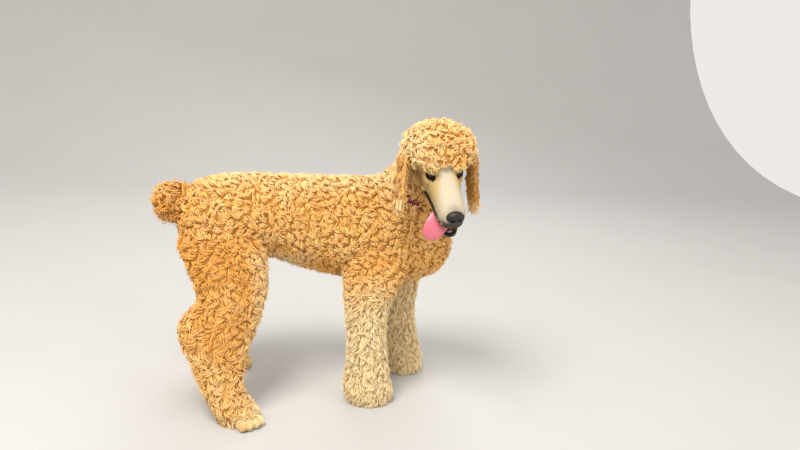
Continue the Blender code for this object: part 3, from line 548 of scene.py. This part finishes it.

# %% [markdown]
# ## Ears
# Each ear is a thin leaf that hangs beside the cheek from the side of the skull. It starts
# inside the skull, so that the skin is one surface.

# %% Ear leaves
EAR_SIDE = {1: 0.086, -1: 0.096}
EAR_LEAN = {1: 0.022, -1: 0.006}
EAR_TOP = 0.706
EAR_FRAME = (Matrix.Translation(AT + Vector((HEAD_AT.x, HEAD_AT.y, EAR_TOP)))
             @ Matrix.Rotation(HEAD_TURN.z, 4, "Z"))
EAR_ROWS = ((0.014, 0.050, 0.010, 0.020), (0.010, 0.075, 0.009, 0.024), (-0.004, 1.0, 0.0075, 0.027),
            (-0.045, 1.0, 0.0060, 0.029), (-0.090, 1.0, 0.0055, 0.030), (-0.122, 1.0, 0.0050, 0.024),
            (-0.138, 1.0, 0.0040, 0.012))


def ear_form(side):
    """Rows of z, place out from the middle (1.0 for the hanging leaf), thickness, width."""
    rows = []
    for z, out, thick, wide in EAR_ROWS:
        if out == 1.0:
            out = EAR_SIDE[side] - EAR_LEAN[side] * z / 0.150
        rows.append(((0, side * out, z), (0, side * 0.01, -1), (1, 0, 0), wide, thick))
    return tube("ear_form", along_line(rows, 0.0, 4, 16), EAR_FRAME)


ears = melt("ears", [ear_form(1), ear_form(-1)], 0.0030, 2)
skin = combine(combine(body_skin, head_skin, "UNION"), ears, "UNION")
skin.name = "skin"

# %% Cut the feet flat
select_only([skin])
bpy.ops.object.mode_set(mode="EDIT")
bpy.ops.mesh.select_all(action="SELECT")
bpy.ops.mesh.bisect(plane_co=(0, 0, 0.0005), plane_no=(0, 0, 1), use_fill=True, clear_inner=True)
bpy.ops.object.mode_set(mode="OBJECT")
bpy.ops.object.shade_smooth()
print("skin", len(skin.data.polygons), "faces")

# %% [markdown]
# ## Where the coat changes
# The same Python functions say, for any point of the dog, how pale it is, how dark or
# fleshy, where shade is painted, and how the coat grows there. Skin and hair both read
# them, so their markings agree. A `step` is a soft threshold.

# %% Markings


def step(values, low, high):
    """0 at low, 1 at high, soft at both ends."""
    t = np.clip((values - low) / (high - low), 0, 1)
    return t * t * (3 - 2 * t)


def near(points, middle, radius):
    """1 at the middle, falling softly to 0 at the radius."""
    return 1 - step(np.linalg.norm(points - np.array(middle), axis=1), 0, radius)


def chain_distance(points, chain):
    """Distance from points to a chain of short straight lines."""
    best = np.full(len(points), 9.0)
    for first, second in pairwise(np.array(chain, dtype=float)):
        line = second - first
        t = np.clip(((points - first) @ line) / (line @ line), 0, 1)
        best = np.minimum(best, np.linalg.norm(points - first - t[:, None] * line, axis=1))
    return best


def face_masks(points):
    """How much a point belongs to the shaved face, and where it is in the head's frame."""
    h = to_frame(HEAD, points)
    x, y, z = h.T
    inside = np.linalg.norm((h - (0.03, 0, -0.01)) / (0.17, 0.10, 0.09), axis=1)
    head = (1 - step(inside, 0.95, 1.1)) * (1 - step(np.abs(y), 0.064, 0.070))
    hair_edge = 0.035 + 0.25 * (x - 0.04) + 0.010 * np.exp(-(y / 0.016) ** 2)
    low = 1 - step(z - hair_edge, -0.003, 0.004)
    front = step(x, -0.040, -0.015)
    shaved = head * np.maximum(low * front, step(x, 0.066, 0.078))
    from_chin = (to_frame(JAW, points) - (0.070, 0, -0.010)) / (0.090, 0.045, 0.036)
    shaved = np.maximum(shaved, 1 - step(np.linalg.norm(from_chin, axis=1), 0.9, 1.1))
    return h, np.clip(shaved, 0, 1)


def ear_mask(points):
    """How much a point belongs to a hanging ear, and how far down it lies."""
    x, y, z = to_frame(EAR_FRAME, points).T
    leaf = np.where(y > 0, EAR_SIDE[1] - EAR_LEAN[1] * z / 0.15, EAR_SIDE[-1] - EAR_LEAN[-1] * z / 0.15)
    mask = ((1 - step(np.abs(np.abs(y) - leaf), 0.010, 0.016)) * step(-z, -0.010, 0.006)
            * (1 - step(np.abs(x), 0.045, 0.055)) * step(z, -0.20, -0.16))
    return mask, -z


def markings(points):
    """Paleness, rust, painted shade on the cheeks, temples and upper ears, dark rims and flesh for points of
    the model.
    """
    dog = points - np.array(AT)
    h, shaved = face_masks(points)
    x, y, z = dog.T
    legs = (1 - step(z, 0.20, 0.42)) * step(x, -0.20, -0.12)
    hind = (1 - step(z, 0.03, 0.34)) * (1 - step(x, -0.20, -0.12))
    front_edge = step(x, -0.36, -0.29) * (1 - step(x, -0.20, -0.12)) * (1 - step(z, 0.40, 0.46))
    back = step(z, 0.555, 0.61) * (1 - step(x, 0.05, 0.12))
    wedge = 1 - step(np.abs(h[:, 1]) - 0.010 - 0.17 * (h[:, 0] - 0.045), -0.007, 0.016)
    (a, b, c), knot = TOPKNOT[1], np.array(TOPKNOT[0])
    crown = 1 - step(np.linalg.norm((h - knot) / (a, b, c), axis=1), 1.0, 1.3)
    toes = np.zeros(len(points))
    for (toe_x, toe_y), _ in TOES:
        toes = np.maximum(toes, 1 - step(np.linalg.norm(dog[:, :2] - (toe_x, toe_y), axis=1),
                                         0.03, 0.06))
    pale = 0.80 * legs + 0.25 * hind + 0.36 * front_edge + 0.34 * back + 0.16 * crown
    pale = np.maximum(pale, 0.5 * toes * (1 - step(z, 0.03, 0.05)))
    pale = pale * (1 - shaved) + 0.5 * shaved
    pom = near(dog, TAIL_POM, 0.10)
    flank = np.exp(-((z - 0.40) / 0.05) ** 2) * (1 - step(x, 0.0, 0.1))
    thigh = (1 - step(x, -0.36, -0.28)) * (1 - step(z, 0.46, 0.56)) * step(z, 0.10, 0.20)
    on_ear, down = ear_mask(points)
    pale = pale * (1 - 0.8 * on_ear) + 0.45 * on_ear * step(down, 0.095, 0.125)
    rust = np.clip(1.2 * pom, 0, 1) + (0.40 * flank + 0.50 * thigh + 0.12) * (1 - shaved)
    rust += 0.55 * on_ear * (1 - step(down, 0.090, 0.120))
    # Painted shade: outside the muzzle's middle wedge the sides of the face turn olive, less of it towards
    # the nose.
    cheek_shade = (1 - wedge) * (1 - 0.60 * step(h[:, 0], 0.08, 0.15))
    # Painted shade: umber on the side of the head between eye and ear, and on the upper part of each ear.
    temple_shade = 1 - step(np.linalg.norm((h[:, 0], np.abs(h[:, 1]) - 0.062, h[:, 2] + 0.028), axis=0),
                      0.028, 0.055)
    shade = np.maximum(0.7 * temple_shade * (1 - on_ear), 0.5 * on_ear * (1 - step(down, 0.08, 0.115)))
    lips = np.array([(px, py, MOUTH_Z + 0.001) for px, py in UPPER_LIP])
    lip = np.minimum(chain_distance(h, lips), chain_distance(h, lips * (1, -1, 1)))
    j = to_frame(JAW, points)
    low_lip = chain_distance(j, np.array(lower_lip))
    rim = np.maximum(1 - step(lip, 0.0042, 0.0060), 1 - step(low_lip, 0.0050, 0.0072))
    rim = rim * step(h[:, 0], 0.044, 0.058)
    chin = step(h[:, 0], 0.163, 0.172) * (1 - step(h[:, 2], -0.026, -0.018))
    rim = np.maximum(rim, 0.85 * chin * shaved)
    for side in (1, -1):
        off = h - (EYE_AT[0], side * EYE_AT[1], EYE_AT[2])
        across = np.cross((EYE_LOOK[0], side * EYE_LOOK[1], EYE_LOOK[2]), (0, 0, 1))
        across /= np.linalg.norm(across)
        oval = np.hypot(off @ across / 0.0160, off[:, 2] / 0.0088)
        rim = np.maximum(rim, (1 - step(oval, 0.92, 1.20)) * (np.linalg.norm(off, axis=1) < 0.022))
    rim = np.maximum(rim, 0.40 * near(h, (0.172, 0, 0.010), 0.032))
    inside = ((np.abs(h[:, 1]) < 0.027) & (h[:, 0] > 0.045) & (h[:, 0] < 0.160)
              & (h[:, 2] < MOUTH_Z + 0.010) & (j[:, 2] > -0.008))
    return {"pale": pale, "rust": np.clip(rust, 0, 1), "rim": rim, "cheek_shade": cheek_shade, "shade": shade,
            "bare": shaved, "flesh": inside.astype(float)}


def mesh_points(mesh):
    points = np.empty(len(mesh.vertices) * 3, dtype=np.float32)
    mesh.vertices.foreach_get("co", points)
    return points.reshape(-1, 3).astype(float)


def paint(mesh, values):
    """Stores numbers on a mesh's points, for its material to read."""
    for name, numbers in values.items():
        layer = mesh.attributes.new(name, "FLOAT", "POINT")
        layer.data.foreach_set("value", np.asarray(numbers, dtype=np.float32))


paint(skin.data, {**markings(mesh_points(skin.data)), "tip": np.full(len(skin.data.vertices), 0.30)})

# %% [markdown]
# ## Colours of the coat
# Apricot hair is dark amber at its roots and bleached at its tips, and its darker roots
# also paint shade into the creases between the curls. The face and front legs are cream,
# and the tail and belly more rust. The sides of the shaved face get a painted shade of
# olive, the temples and upper ears a painted shade of umber. The skin has the same
# colours, a little deeper, with the bump of close-shaved hair.

# %% Coat and skin materials
APRICOT = (0.92, 0.56, 0.18)
CREAM = (0.93, 0.75, 0.44)
WHITE = (0.50, 0.445, 0.33)
RUST = (0.80, 0.38, 0.07)
# The colour of the painted shade on the sides of the shaved face:
OLIVE_SHADE = (0.50, 0.35, 0.14)
# The colour of the painted shade on the temples and upper ears:
UMBER_SHADE = (0.40, 0.20, 0.06)
# Root colour, a little deeper than the coat: darker roots, and painted shade in the creases between curls:
ROOT_AND_CREASE_SHADE = (0.84, 0.46, 0.12)
TIP = (0.98, 0.80, 0.45)
DARK = (0.010, 0.0075, 0.0065)
FLESH = (0.12, 0.022, 0.022)


def hair_colour(finish):
    """Apricot to cream to white by the painted paleness, with patches, and painted shade: olive on the
    face's sides, umber on the temples and upper ears.
    """
    patch = finish.noise(13.0, 2.0)
    fleck = finish.noise(38.0, 2.0)
    pale = (finish.attribute("pale") + (patch - 0.5) * 0.55 + (fleck - 0.5) * 0.35).clamp()
    warm = finish.mix((finish.attribute("rust") - (patch - 0.5) * 0.9).clamp(), APRICOT, RUST)
    cream = finish.mix(pale.between(0.0, 0.65), warm, CREAM)
    # The shaved face keeps its white along the muzzle's middle and gets a painted olive shade on its sides.
    face = finish.mix((finish.attribute("cheek_shade") + (fleck - 0.5) * 0.5).clamp(), WHITE, OLIVE_SHADE)
    # Last comes the painted shade of the temples and upper ears, in umber.
    return finish.mix(finish.attribute("shade"), finish.mix(finish.attribute("bare"), cream, face), UMBER_SHADE)


def make_coat():
    finish = Finish("coat_curls", Roughness=0.85, Specular_IOR_Level=0.12)
    colour = hair_colour(finish)
    tip = finish.attribute("tip")
    tone = finish.attribute("tone")
    pale = finish.attribute("pale")
    # Darker towards the root: dark amber roots, which also paint shade into the creases between the curls.
    root = finish.mix(pale, ROOT_AND_CREASE_SHADE, (0.90, 0.70, 0.41))
    shade = finish.mix(tip.between(0.0, 0.45), root, colour)
    deep = finish.mix(tone.between(0.45, 0.0) * 0.4, shade, root)
    light = finish.mix(tip.between(0.45, 1.0) * (0.08 + tone * 0.40), deep, TIP)
    finish.set("Base Color", finish.mix(finish.attribute("rim") * 0.8, light, DARK))
    return finish


def make_skin():
    finish = Finish("shaved_skin", Roughness=0.8, Specular_IOR_Level=0.18)
    colour = hair_colour(finish)
    pale = finish.attribute("pale")
    # Where the coat is not pale, the skin under it, seen in the gaps between curls, takes the root colour:
    # painted shade in those creases.
    under = finish.mix(pale.between(0.15, 0.40), ROOT_AND_CREASE_SHADE, colour)
    along_head = finish.node("Mapping", {"vector_type": "TEXTURE"},
                             {"Vector": finish.place(), "Rotation": tuple(HEAD_TURN),
                              "Scale": (6.0, 1.0, 1.0)})
    fur = finish.noise(520.0, 2.0, vector=along_head)
    speckled = finish.mix(fur.between(0.40, 0.75) * 0.28, under, (0.46, 0.32, 0.16))
    rims = finish.mix(finish.attribute("rim"), speckled, DARK)
    finish.set("Base Color", finish.mix(finish.attribute("flesh"), rims, FLESH))
    finish.set("Roughness", 0.85 - finish.attribute("rim") * 0.15)
    finish.bump(fur + finish.noise(90.0) * 0.4, 0.0016, 0.9)
    return finish


coat_finish = make_coat()
wear(skin, make_skin())
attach(skin, "root")
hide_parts("torso", "neck", "head", "jaw", "ear_left", "ear_right", "tail",
            "foreleg_left", "foreleg_right", "forepaw_left", "forepaw_right",
            "hindleg_left", "hindleg_right", "hindpaw_left", "hindpaw_right")

# %% [markdown]
# ## How the coat grows
# Curls are small cells. The hairs of one cell rise together and sweep round the same
# way, so each cell reads as one lock or ringlet. On the topknot and tail they turn nearly
# full circle, on the trunk they make waves, and down the legs they hang as brushed
# locks. A table of styles holds the numbers, and each root takes a blend of its rows.

# %% Growth
STYLES = {        # rise, length, turn, gather, stray, width, cell, free
    "trunk": (0.0108, 0.019, 2.0, 0.36, 0.90, 0.0026, 0.0105, 0.05),
    "topknot": (0.0100, 0.013, 2.9, 0.34, 3.00, 0.0026, 0.0080, 0.18),
    "fore": (0.0095, 0.022, 0.9, 0.26, 0.40, 0.0024, 0.0090, 0.25),
    "hind": (0.0100, 0.024, 1.4, 0.38, 0.50, 0.0026, 0.0115, 0.35),
    "ear": (0.0050, 0.026, 1.3, 0.55, 0.30, 0.0026, 0.0105, 0.75),
    "pom": (0.0200, 0.018, 3.0, 0.45, 3.00, 0.0025, 0.0110, 0.45),
    "toes": (0.0018, 0.007, 0.4, 0.10, 0.20, 0.0016, 0.0070, 0.00),
    "face": (0.0006, 0.004, 0.3, 0.05, 0.15, 0.0008, 0.0070, 0.00)}
COLUMNS = ("rise", "length", "turn", "gather", "stray", "width", "cell", "free")


def growth(points, normals):
    """For each root: the numbers of its style, the lie, and whether hair grows there."""
    dog = points - np.array(AT)
    x, y, z = dog.T
    h, shaved = face_masks(points)
    on_ear, _ = ear_mask(points)
    a, b, c = TOPKNOT[1]
    up = np.linalg.norm((h - TOPKNOT[0]) / (a, b, c), axis=1)
    topknot = (1 - step(up, 1.0, 1.15)) * step(h[:, 2], -0.035, -0.010)
    fore = (1 - step(z, 0.26, 0.38)) * step(x, -0.20, -0.14)
    hind = (1 - step(z, 0.34, 0.48)) * (1 - step(x, -0.26, -0.18))
    pom = 1 - step(np.linalg.norm(dog - np.array(TAIL_POM), axis=1), 0.040, 0.052)
    toes = np.zeros(len(points))
    for (toe_x, toe_y), way in TOES:
        ahead = (dog[:, 0] - toe_x) * math.cos(way) + (dog[:, 1] - toe_y) * math.sin(way)
        close = 1 - step(np.linalg.norm(dog - (toe_x, toe_y, 0.01), axis=1), 0.052, 0.060)
        toes = np.maximum(toes, close * step(ahead, 0.000, 0.008) * (1 - step(z, 0.030, 0.038)))
    style = np.tile(STYLES["trunk"], (len(points), 1))
    masks = {"fore": fore, "hind": hind, "topknot": topknot, "pom": pom, "face": shaved,
             "ear": on_ear, "toes": toes}
    for name, mask in masks.items():
        style += (np.array(STYLES[name]) - style) * mask[:, None]
    leg = np.maximum(fore, hind)[:, None]
    lie = np.array((-0.6, 0.0, -0.75)) * (1 - leg) + np.array((-0.12, 0.0, -1.0)) * leg
    backwards = -np.array(HEAD.to_3x3())[:, 0] - 0.4 * np.array(HEAD.to_3x3())[:, 2]
    lie = np.where(shaved[:, None] > 0.5, backwards, lie)
    lie = np.where(on_ear[:, None] > 0.5, np.array((0.0, 0.0, -1.0)), lie)
    lie = lie - normals * (lie * normals).sum(1)[:, None]
    lie /= np.linalg.norm(lie, axis=1)[:, None] + 1e-9
    marks = markings(points)
    result = dict(zip(COLUMNS, style.T))
    result.update(lie=lie, grows=(marks["flesh"] < 0.5) & (marks["rim"] < 0.22) & (shaved < 0.6))
    return result


# %% [markdown]
# ## Roots on the skin
# Roots are scattered over the skin's triangles in proportion to their area, with a
# seeded draw. Each one remembers where it lies on an unwrap of the skin.

# %% Unwrap and scatter
select_only([skin])
bpy.ops.object.mode_set(mode="EDIT")
bpy.ops.mesh.select_all(action="SELECT")
bpy.ops.uv.smart_project(angle_limit=math.radians(66), island_margin=0.002)
bpy.ops.object.mode_set(mode="OBJECT")
skin.data.uv_layers[0].name = "OFBake"


def skin_triangles(mesh):
    """Corners, their normals and their places on the unwrap, for every triangle."""
    mesh.calc_loop_triangles()
    count = len(mesh.loop_triangles)
    corner = np.empty(count * 3, dtype=np.int32)
    loop = np.empty(count * 3, dtype=np.int32)
    mesh.loop_triangles.foreach_get("vertices", corner)
    mesh.loop_triangles.foreach_get("loops", loop)
    normals = np.empty(len(mesh.vertices) * 3, dtype=np.float32)
    mesh.vertex_normals.foreach_get("vector", normals)
    places = np.empty(len(mesh.loops) * 2, dtype=np.float32)
    mesh.uv_layers[0].data.foreach_get("uv", places)
    corner = corner.reshape(-1, 3)
    return (mesh_points(mesh)[corner], normals.reshape(-1, 3).astype(float)[corner],
            places.reshape(-1, 2).astype(float)[loop.reshape(-1, 3)])


def scatter(count, seed):
    """Even random roots: points, normals and places on the unwrap."""
    draw = np.random.default_rng(seed)
    corners, normals, places = skin_triangles(skin.data)
    area = np.linalg.norm(np.cross(corners[:, 1] - corners[:, 0], corners[:, 2] - corners[:, 0]),
                          axis=1)
    middle = corners.mean(axis=1)
    area = area * (middle[:, 2] > 0.004)
    chosen = draw.choice(len(area), size=count, p=area / area.sum())
    first, second = np.sort(draw.random((2, count)), axis=0)
    share = np.stack((first, second - first, 1 - second), axis=1)[:, :, None]
    point = (corners[chosen] * share).sum(axis=1)
    normal = (normals[chosen] * share).sum(axis=1)
    normal /= np.linalg.norm(normal, axis=1)[:, None]
    return point, normal, (places[chosen] * share).sum(axis=1)


def thin_out(points, spacing):
    """Indices of points that keep their own distance from all kept before them."""
    kept = []
    grid = {}
    for index, (point, room) in enumerate(zip(points.tolist(), spacing.tolist())):
        size = 0.012
        home = tuple(int(math.floor(value / size)) for value in point)
        near_by = [other for dx in (-1, 0, 1) for dy in (-1, 0, 1) for dz in (-1, 0, 1)
                   for other in grid.get((home[0] + dx, home[1] + dy, home[2] + dz), ())]
        if all((point[0] - q[0]) ** 2 + (point[1] - q[1]) ** 2 + (point[2] - q[2]) ** 2
               > room * room for q in near_by):
            kept.append(index)
            grid.setdefault(home, []).append(point)
    return np.array(kept)


crowns, crown_normals, _ = scatter(60000, 3)
kept = thin_out(crowns, growth(crowns, crown_normals)["cell"])
crowns, crown_normals = crowns[kept], crown_normals[kept]
print("curls", len(crowns))

# %% [markdown]
# ## Hair as solid tufts
# A tuft is a thin spike of three sides along a short curve. Its root is sunk in the
# skin, it swells out from its cell and closes over the crown. All tufts of a region are
# made in one go with arrays, as one mesh.

# %% Strands
COVER = 2.5                    # how many strands lie over each spot
ALONG = np.array((0.0, 0.25, 0.52, 0.78, 1.0))
HEIGHT = np.array((-0.10, 0.55, 0.95, 1.0, 0.82))
TAPER = np.array((0.75, 1.0, 0.95, 0.65))
RINGS = len(TAPER)
PATCH = 0.003

skin_tree = BVHTree.FromObject(skin, bpy.context.evaluated_depsgraph_get())
crown_tree = KDTree(len(crowns))
for crown_index, crown_point in enumerate(crowns):
    crown_tree.insert(crown_point, crown_index)
crown_tree.balance()


def turned(vectors, axes, angles):
    """Unit vectors turned about unit axes that they are square to."""
    across = np.cross(axes, vectors)
    return vectors * np.cos(angles)[:, None] + across * np.sin(angles)[:, None]


def curves(points, normals, seed):
    """The bent middle line of every strand, its width and the tone of its curl."""
    draw = np.random.default_rng(seed)
    count = len(points)
    grow = growth(points, normals)
    home = np.array([crown_tree.find(point)[1] for point in points])
    shared = np.random.default_rng(5).random((len(crowns), 4))[home]
    angle = grow["stray"] * (shared[:, 0] * 2 - 1) + draw.normal(0, 0.12, count)
    way = turned(grow["lie"], normals, angle)
    side = np.cross(normals, way)
    sign = np.where(shared[:, 1] < 0.5, -1.0, 1.0)
    bend = (sign * grow["turn"] * draw.uniform(0.8, 1.2, count))[:, None]
    length = grow["length"] * (0.8 + 0.4 * shared[:, 2]) * draw.uniform(0.85, 1.15, count)
    wild = draw.random(count) < 0.10
    rise = grow["rise"] * (0.86 + 0.28 * shared[:, 3]) * np.where(wild, 1.45, draw.uniform(0.85, 1.1, count))
    t = ALONG[None, :]
    ahead = length[:, None] * np.sin(bend * t) / bend
    aside = length[:, None] * (1 - np.cos(bend * t)) / bend
    gather = ((crowns[home] - points) * grow["gather"][:, None])[:, None] * t[:, :, None]
    flat = (points[:, None] + gather + ahead[:, :, None] * way[:, None]
            + aside[:, :, None] * side[:, None])
    lift = rise[:, None] * HEIGHT
    laid = np.empty((count * len(ALONG), 3))
    for index, spot in enumerate(flat.reshape(-1, 3)):
        place, normal, _, _ = skin_tree.find_nearest(spot)
        laid[index] = np.array(place) + np.array(normal) * lift.flat[index]
    laid = laid.reshape(count, len(ALONG), 3)
    hung = flat + normals[:, None] * lift[:, :, None]
    free = (grow["free"][:, None] * t)[:, :, None]
    line = laid + (hung - laid) * free
    line[:, :, 2] = np.maximum(line[:, :, 2], 0.0012)
    width = grow["width"] * np.where(wild, 0.6, draw.uniform(0.75, 1.25, count))
    return line, width, shared[:, 2]


def tuft_mesh(name, points, normals, places, seed):
    """One mesh of spikes, with its markings and its patch of the unwrap."""
    line, width, curl_tone = curves(points, normals, seed)
    count = len(line)
    along = np.gradient(line, axis=1)
    along /= np.linalg.norm(along, axis=2)[:, :, None] + 1e-9
    side = np.cross(along, normals[:, None])
    side /= np.linalg.norm(side, axis=2)[:, :, None] + 1e-9
    top = np.cross(side, along)
    half = (width[:, None] * TAPER)[:, :, None] * 0.5
    rings = np.stack((line[:, :RINGS] - side[:, :RINGS] * half - top[:, :RINGS] * half * 0.3,
                      line[:, :RINGS] + side[:, :RINGS] * half - top[:, :RINGS] * half * 0.3,
                      line[:, :RINGS] + top[:, :RINGS] * half * 0.7), axis=2)
    verts = np.concatenate((rings.reshape(count, 3 * RINGS, 3), line[:, RINGS:]), axis=1)
    faces = [(0, 2, 1)]
    for base in range(0, 3 * RINGS - 3, 3):
        for one, two in ((0, 1), (1, 2), (2, 0)):
            faces.append((base + one, base + two, base + two + 3, base + one + 3))
    last = 3 * RINGS - 3
    faces += [(last, last + 1, last + 3), (last + 1, last + 2, last + 3), (last + 2, last, last + 3)]
    own = 3 * RINGS + 1
    sizes = np.array([len(face) for face in faces])
    flat = np.concatenate([np.array(face) for face in faces])
    loops = (flat[None] + own * np.arange(count)[:, None]).ravel()
    totals = np.tile(sizes, count)
    starts = np.concatenate(((0,), np.cumsum(totals)[:-1]))
    mesh = bpy.data.meshes.new(name)
    mesh.vertices.add(count * own)
    mesh.vertices.foreach_set("co", verts.astype(np.float32).ravel())
    mesh.loops.add(len(loops))
    mesh.loops.foreach_set("vertex_index", loops.astype(np.int32))
    mesh.polygons.add(len(totals))
    mesh.polygons.foreach_set("loop_start", starts.astype(np.int32))
    mesh.update()
    mesh.shade_smooth()
    layer = mesh.uv_layers.new(name="OFBake")
    across = [-0.5, 0.5, 0.0] * RINGS + [0.0]
    lengthwise = np.repeat(ALONG[:RINGS] - 0.5, 3).tolist() + [0.5]
    local = np.stack((across, lengthwise), 1) * PATCH
    layer.data.foreach_set("uv", (places[:, None] + local[flat][None]).astype(np.float32).ravel())
    draw = np.random.default_rng(seed + 1)
    tip = np.tile(np.concatenate((np.repeat(ALONG[:RINGS], 3), (1.0,))), count)
    tone = 0.6 * curl_tone + 0.4 * draw.random(count)
    marks = {key: np.repeat(value, own) for key, value in markings(points).items()}
    paint(mesh, {**marks, "tip": tip, "tone": np.repeat(tone, own)})
    piece = bpy.data.objects.new(name, mesh)
    bpy.context.scene.collection.objects.link(piece)
    wear(piece, coat_finish)
    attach(piece, "root")
    return piece


# %% Grow the coat
PER_METRE = 110000                                # more roots than any style needs
roots, root_normals, root_places = scatter(int(1.45 * PER_METRE), 11)
root_growth = growth(roots, root_normals)
wanted = COVER / (root_growth["width"] * root_growth["length"]) / PER_METRE
wanted = np.minimum(wanted, 1.0)
chance = np.random.default_rng(12).random(len(roots))
grows = root_growth["grows"] & (chance < wanted)
roots, root_normals, root_places = roots[grows], root_normals[grows], root_places[grows]
pieces = 9
order = np.argsort(roots[:, 0] + 0.3 * roots[:, 2])
for number, part in enumerate(np.array_split(order, pieces)):
    tuft_mesh(f"coat_{number + 1}", roots[part], root_normals[part], root_places[part], 20 + number)
print("strands", len(roots), "triangles", len(roots) * (6 * RINGS - 2))

# %% [markdown]
# ## Eyes, nose, tongue and collar
# The small wet and bare parts are pieces of their own, each in place of its solid.

# %% Eyes


def make_eye(side, node):
    x, y, z = EYE_AT
    look = Vector((EYE_LOOK[0], side * EYE_LOOK[1], EYE_LOOK[2])).normalized()
    eye = ball(node + "_ball", (x, side * y, z), (EYE_RADIUS - 0.0002,) * 3, HEAD, 48)
    eye.data.shade_smooth()
    finish = Finish(node + "_wet", Roughness=0.06, Specular_IOR_Level=0.25, Coat_Weight=0.25,
                    Coat_Roughness=0.02)
    centre = HEAD @ Vector((x, side * y, z))
    gaze = (HEAD.to_3x3() @ look).normalized()
    away = finish.node("VectorMath", {"operation": "SUBTRACT"}, {0: finish.place(), 1: centre})
    toward = finish.node("VectorMath", {"operation": "DOT_PRODUCT"}, {0: away, 1: gaze}, "Value")
    toward = toward * (1 / EYE_RADIUS)
    fibre = finish.noise(500.0)
    iris = finish.mix(fibre, (0.020, 0.008, 0.004), (0.045, 0.018, 0.007))
    ringed = finish.mix(toward.between(0.70, 0.74), (0.10, 0.06, 0.05), iris)
    finish.set("Base Color", finish.mix(toward.between(0.91, 0.93), ringed, (0.004, 0.003, 0.003)))
    wear(eye, finish)
    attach(eye, "root")
    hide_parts(node)
    return eye


for eye_side, eye_node in ((1, "eye_left"), (-1, "eye_right")):
    make_eye(eye_side, eye_node)

# %% Nose
nose = ball("nose_pad", (0.181, 0, -0.003), (0.0150, 0.0225, 0.0160), HEAD, 48)
for side in (-1, 1):
    combine(nose, ball("nostril", (0.1950, side * 0.0090, -0.002), (0.008, 0.0040, 0.0042), HEAD, 24),
            "DIFFERENCE")
    combine(nose, ball("nostril_slit", (0.1890, side * 0.0180, -0.006), (0.008, 0.007, 0.0017), HEAD,
                       24), "DIFFERENCE")
nose.data.shade_smooth()
leather = Finish("wet_nose", Roughness=0.48, Specular_IOR_Level=0.35, Coat_Weight=0.10,
                 Coat_Roughness=0.28)
pebble = leather.node("TexVoronoi", {}, {"Vector": leather.place(), "Scale": 700.0}, "Distance")
leather.set("Base Color", leather.mix(pebble.between(0.1, 0.6), (0.026, 0.019, 0.016),
                                      (0.010, 0.008, 0.007)))
leather.bump(1 - pebble, 0.0006, 0.6)
wear(nose, leather)
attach(nose, "root")
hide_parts("nose")

# %% Tongue
TONGUE = (((0.070, 0.000, -0.0500), (1.00, 0.00, -0.15), (0, 1, 0), 0.013, 0.0030),
          ((0.095, -0.003, -0.0520), (0.90, -0.20, -0.12), (0.1, 1, 0), 0.018, 0.0034),
          ((0.118, -0.010, -0.0560), (0.80, -0.40, -0.30), (0.4, 1, -0.2), 0.024, 0.0040),
          ((0.1350, -0.0215, -0.0625), (0.60, -0.60, -0.50), (0.56, 0.78, -0.29), 0.0280, 0.0044),
          ((0.1465, -0.0330, -0.0700), (0.55, -0.60, -0.60), (0.53, 0.80, -0.26), 0.0280, 0.0044),
          ((0.1555, -0.0435, -0.0815), (0.50, -0.50, -0.75), (0.48, 0.84, -0.21), 0.0250, 0.0042),
          ((0.1610, -0.0500, -0.0930), (0.45, -0.45, -0.80), (0.45, 0.87, -0.18), 0.0185, 0.0038),
          ((0.1640, -0.0535, -0.1000), (0.45, -0.45, -0.80), (0.45, 0.87, -0.18), 0.0080, 0.0025))
tongue = tube("tongue_blade", along_line(TONGUE, 0.0, 6, 24), HEAD)
select_only([tongue])
soft = tongue.modifiers.new("soft", "SUBSURF")
soft.levels = soft.render_levels = 1
bpy.ops.object.modifier_apply(modifier="soft")
tongue.data.shade_smooth()
wet = Finish("wet_tongue", Roughness=0.35, Coat_Weight=0.3, Coat_Roughness=0.15)
papilla = wet.node("TexVoronoi", {}, {"Vector": wet.place(), "Scale": 900.0}, "Distance")
wet.set("Base Color", wet.mix(wet.noise(60.0), (0.56, 0.11, 0.155), (0.70, 0.18, 0.225)))
wet.bump(1 - papilla, 0.0005, 0.4)
wear(tongue, wet)
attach(tongue, "root")
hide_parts("tongue")

# %% Collar
band = Finish("woven_collar", Roughness=0.7)
weave = band.node("TexWave", {"wave_type": "BANDS"}, {"Vector": band.place(), "Scale": 400.0}, "Fac")
band.set("Base Color", band.mix(weave, (0.11, 0.006, 0.012), (0.21, 0.014, 0.022)))
band.bump(weave, 0.0004, 0.5)
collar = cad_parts["collar"]
wear(collar, band)
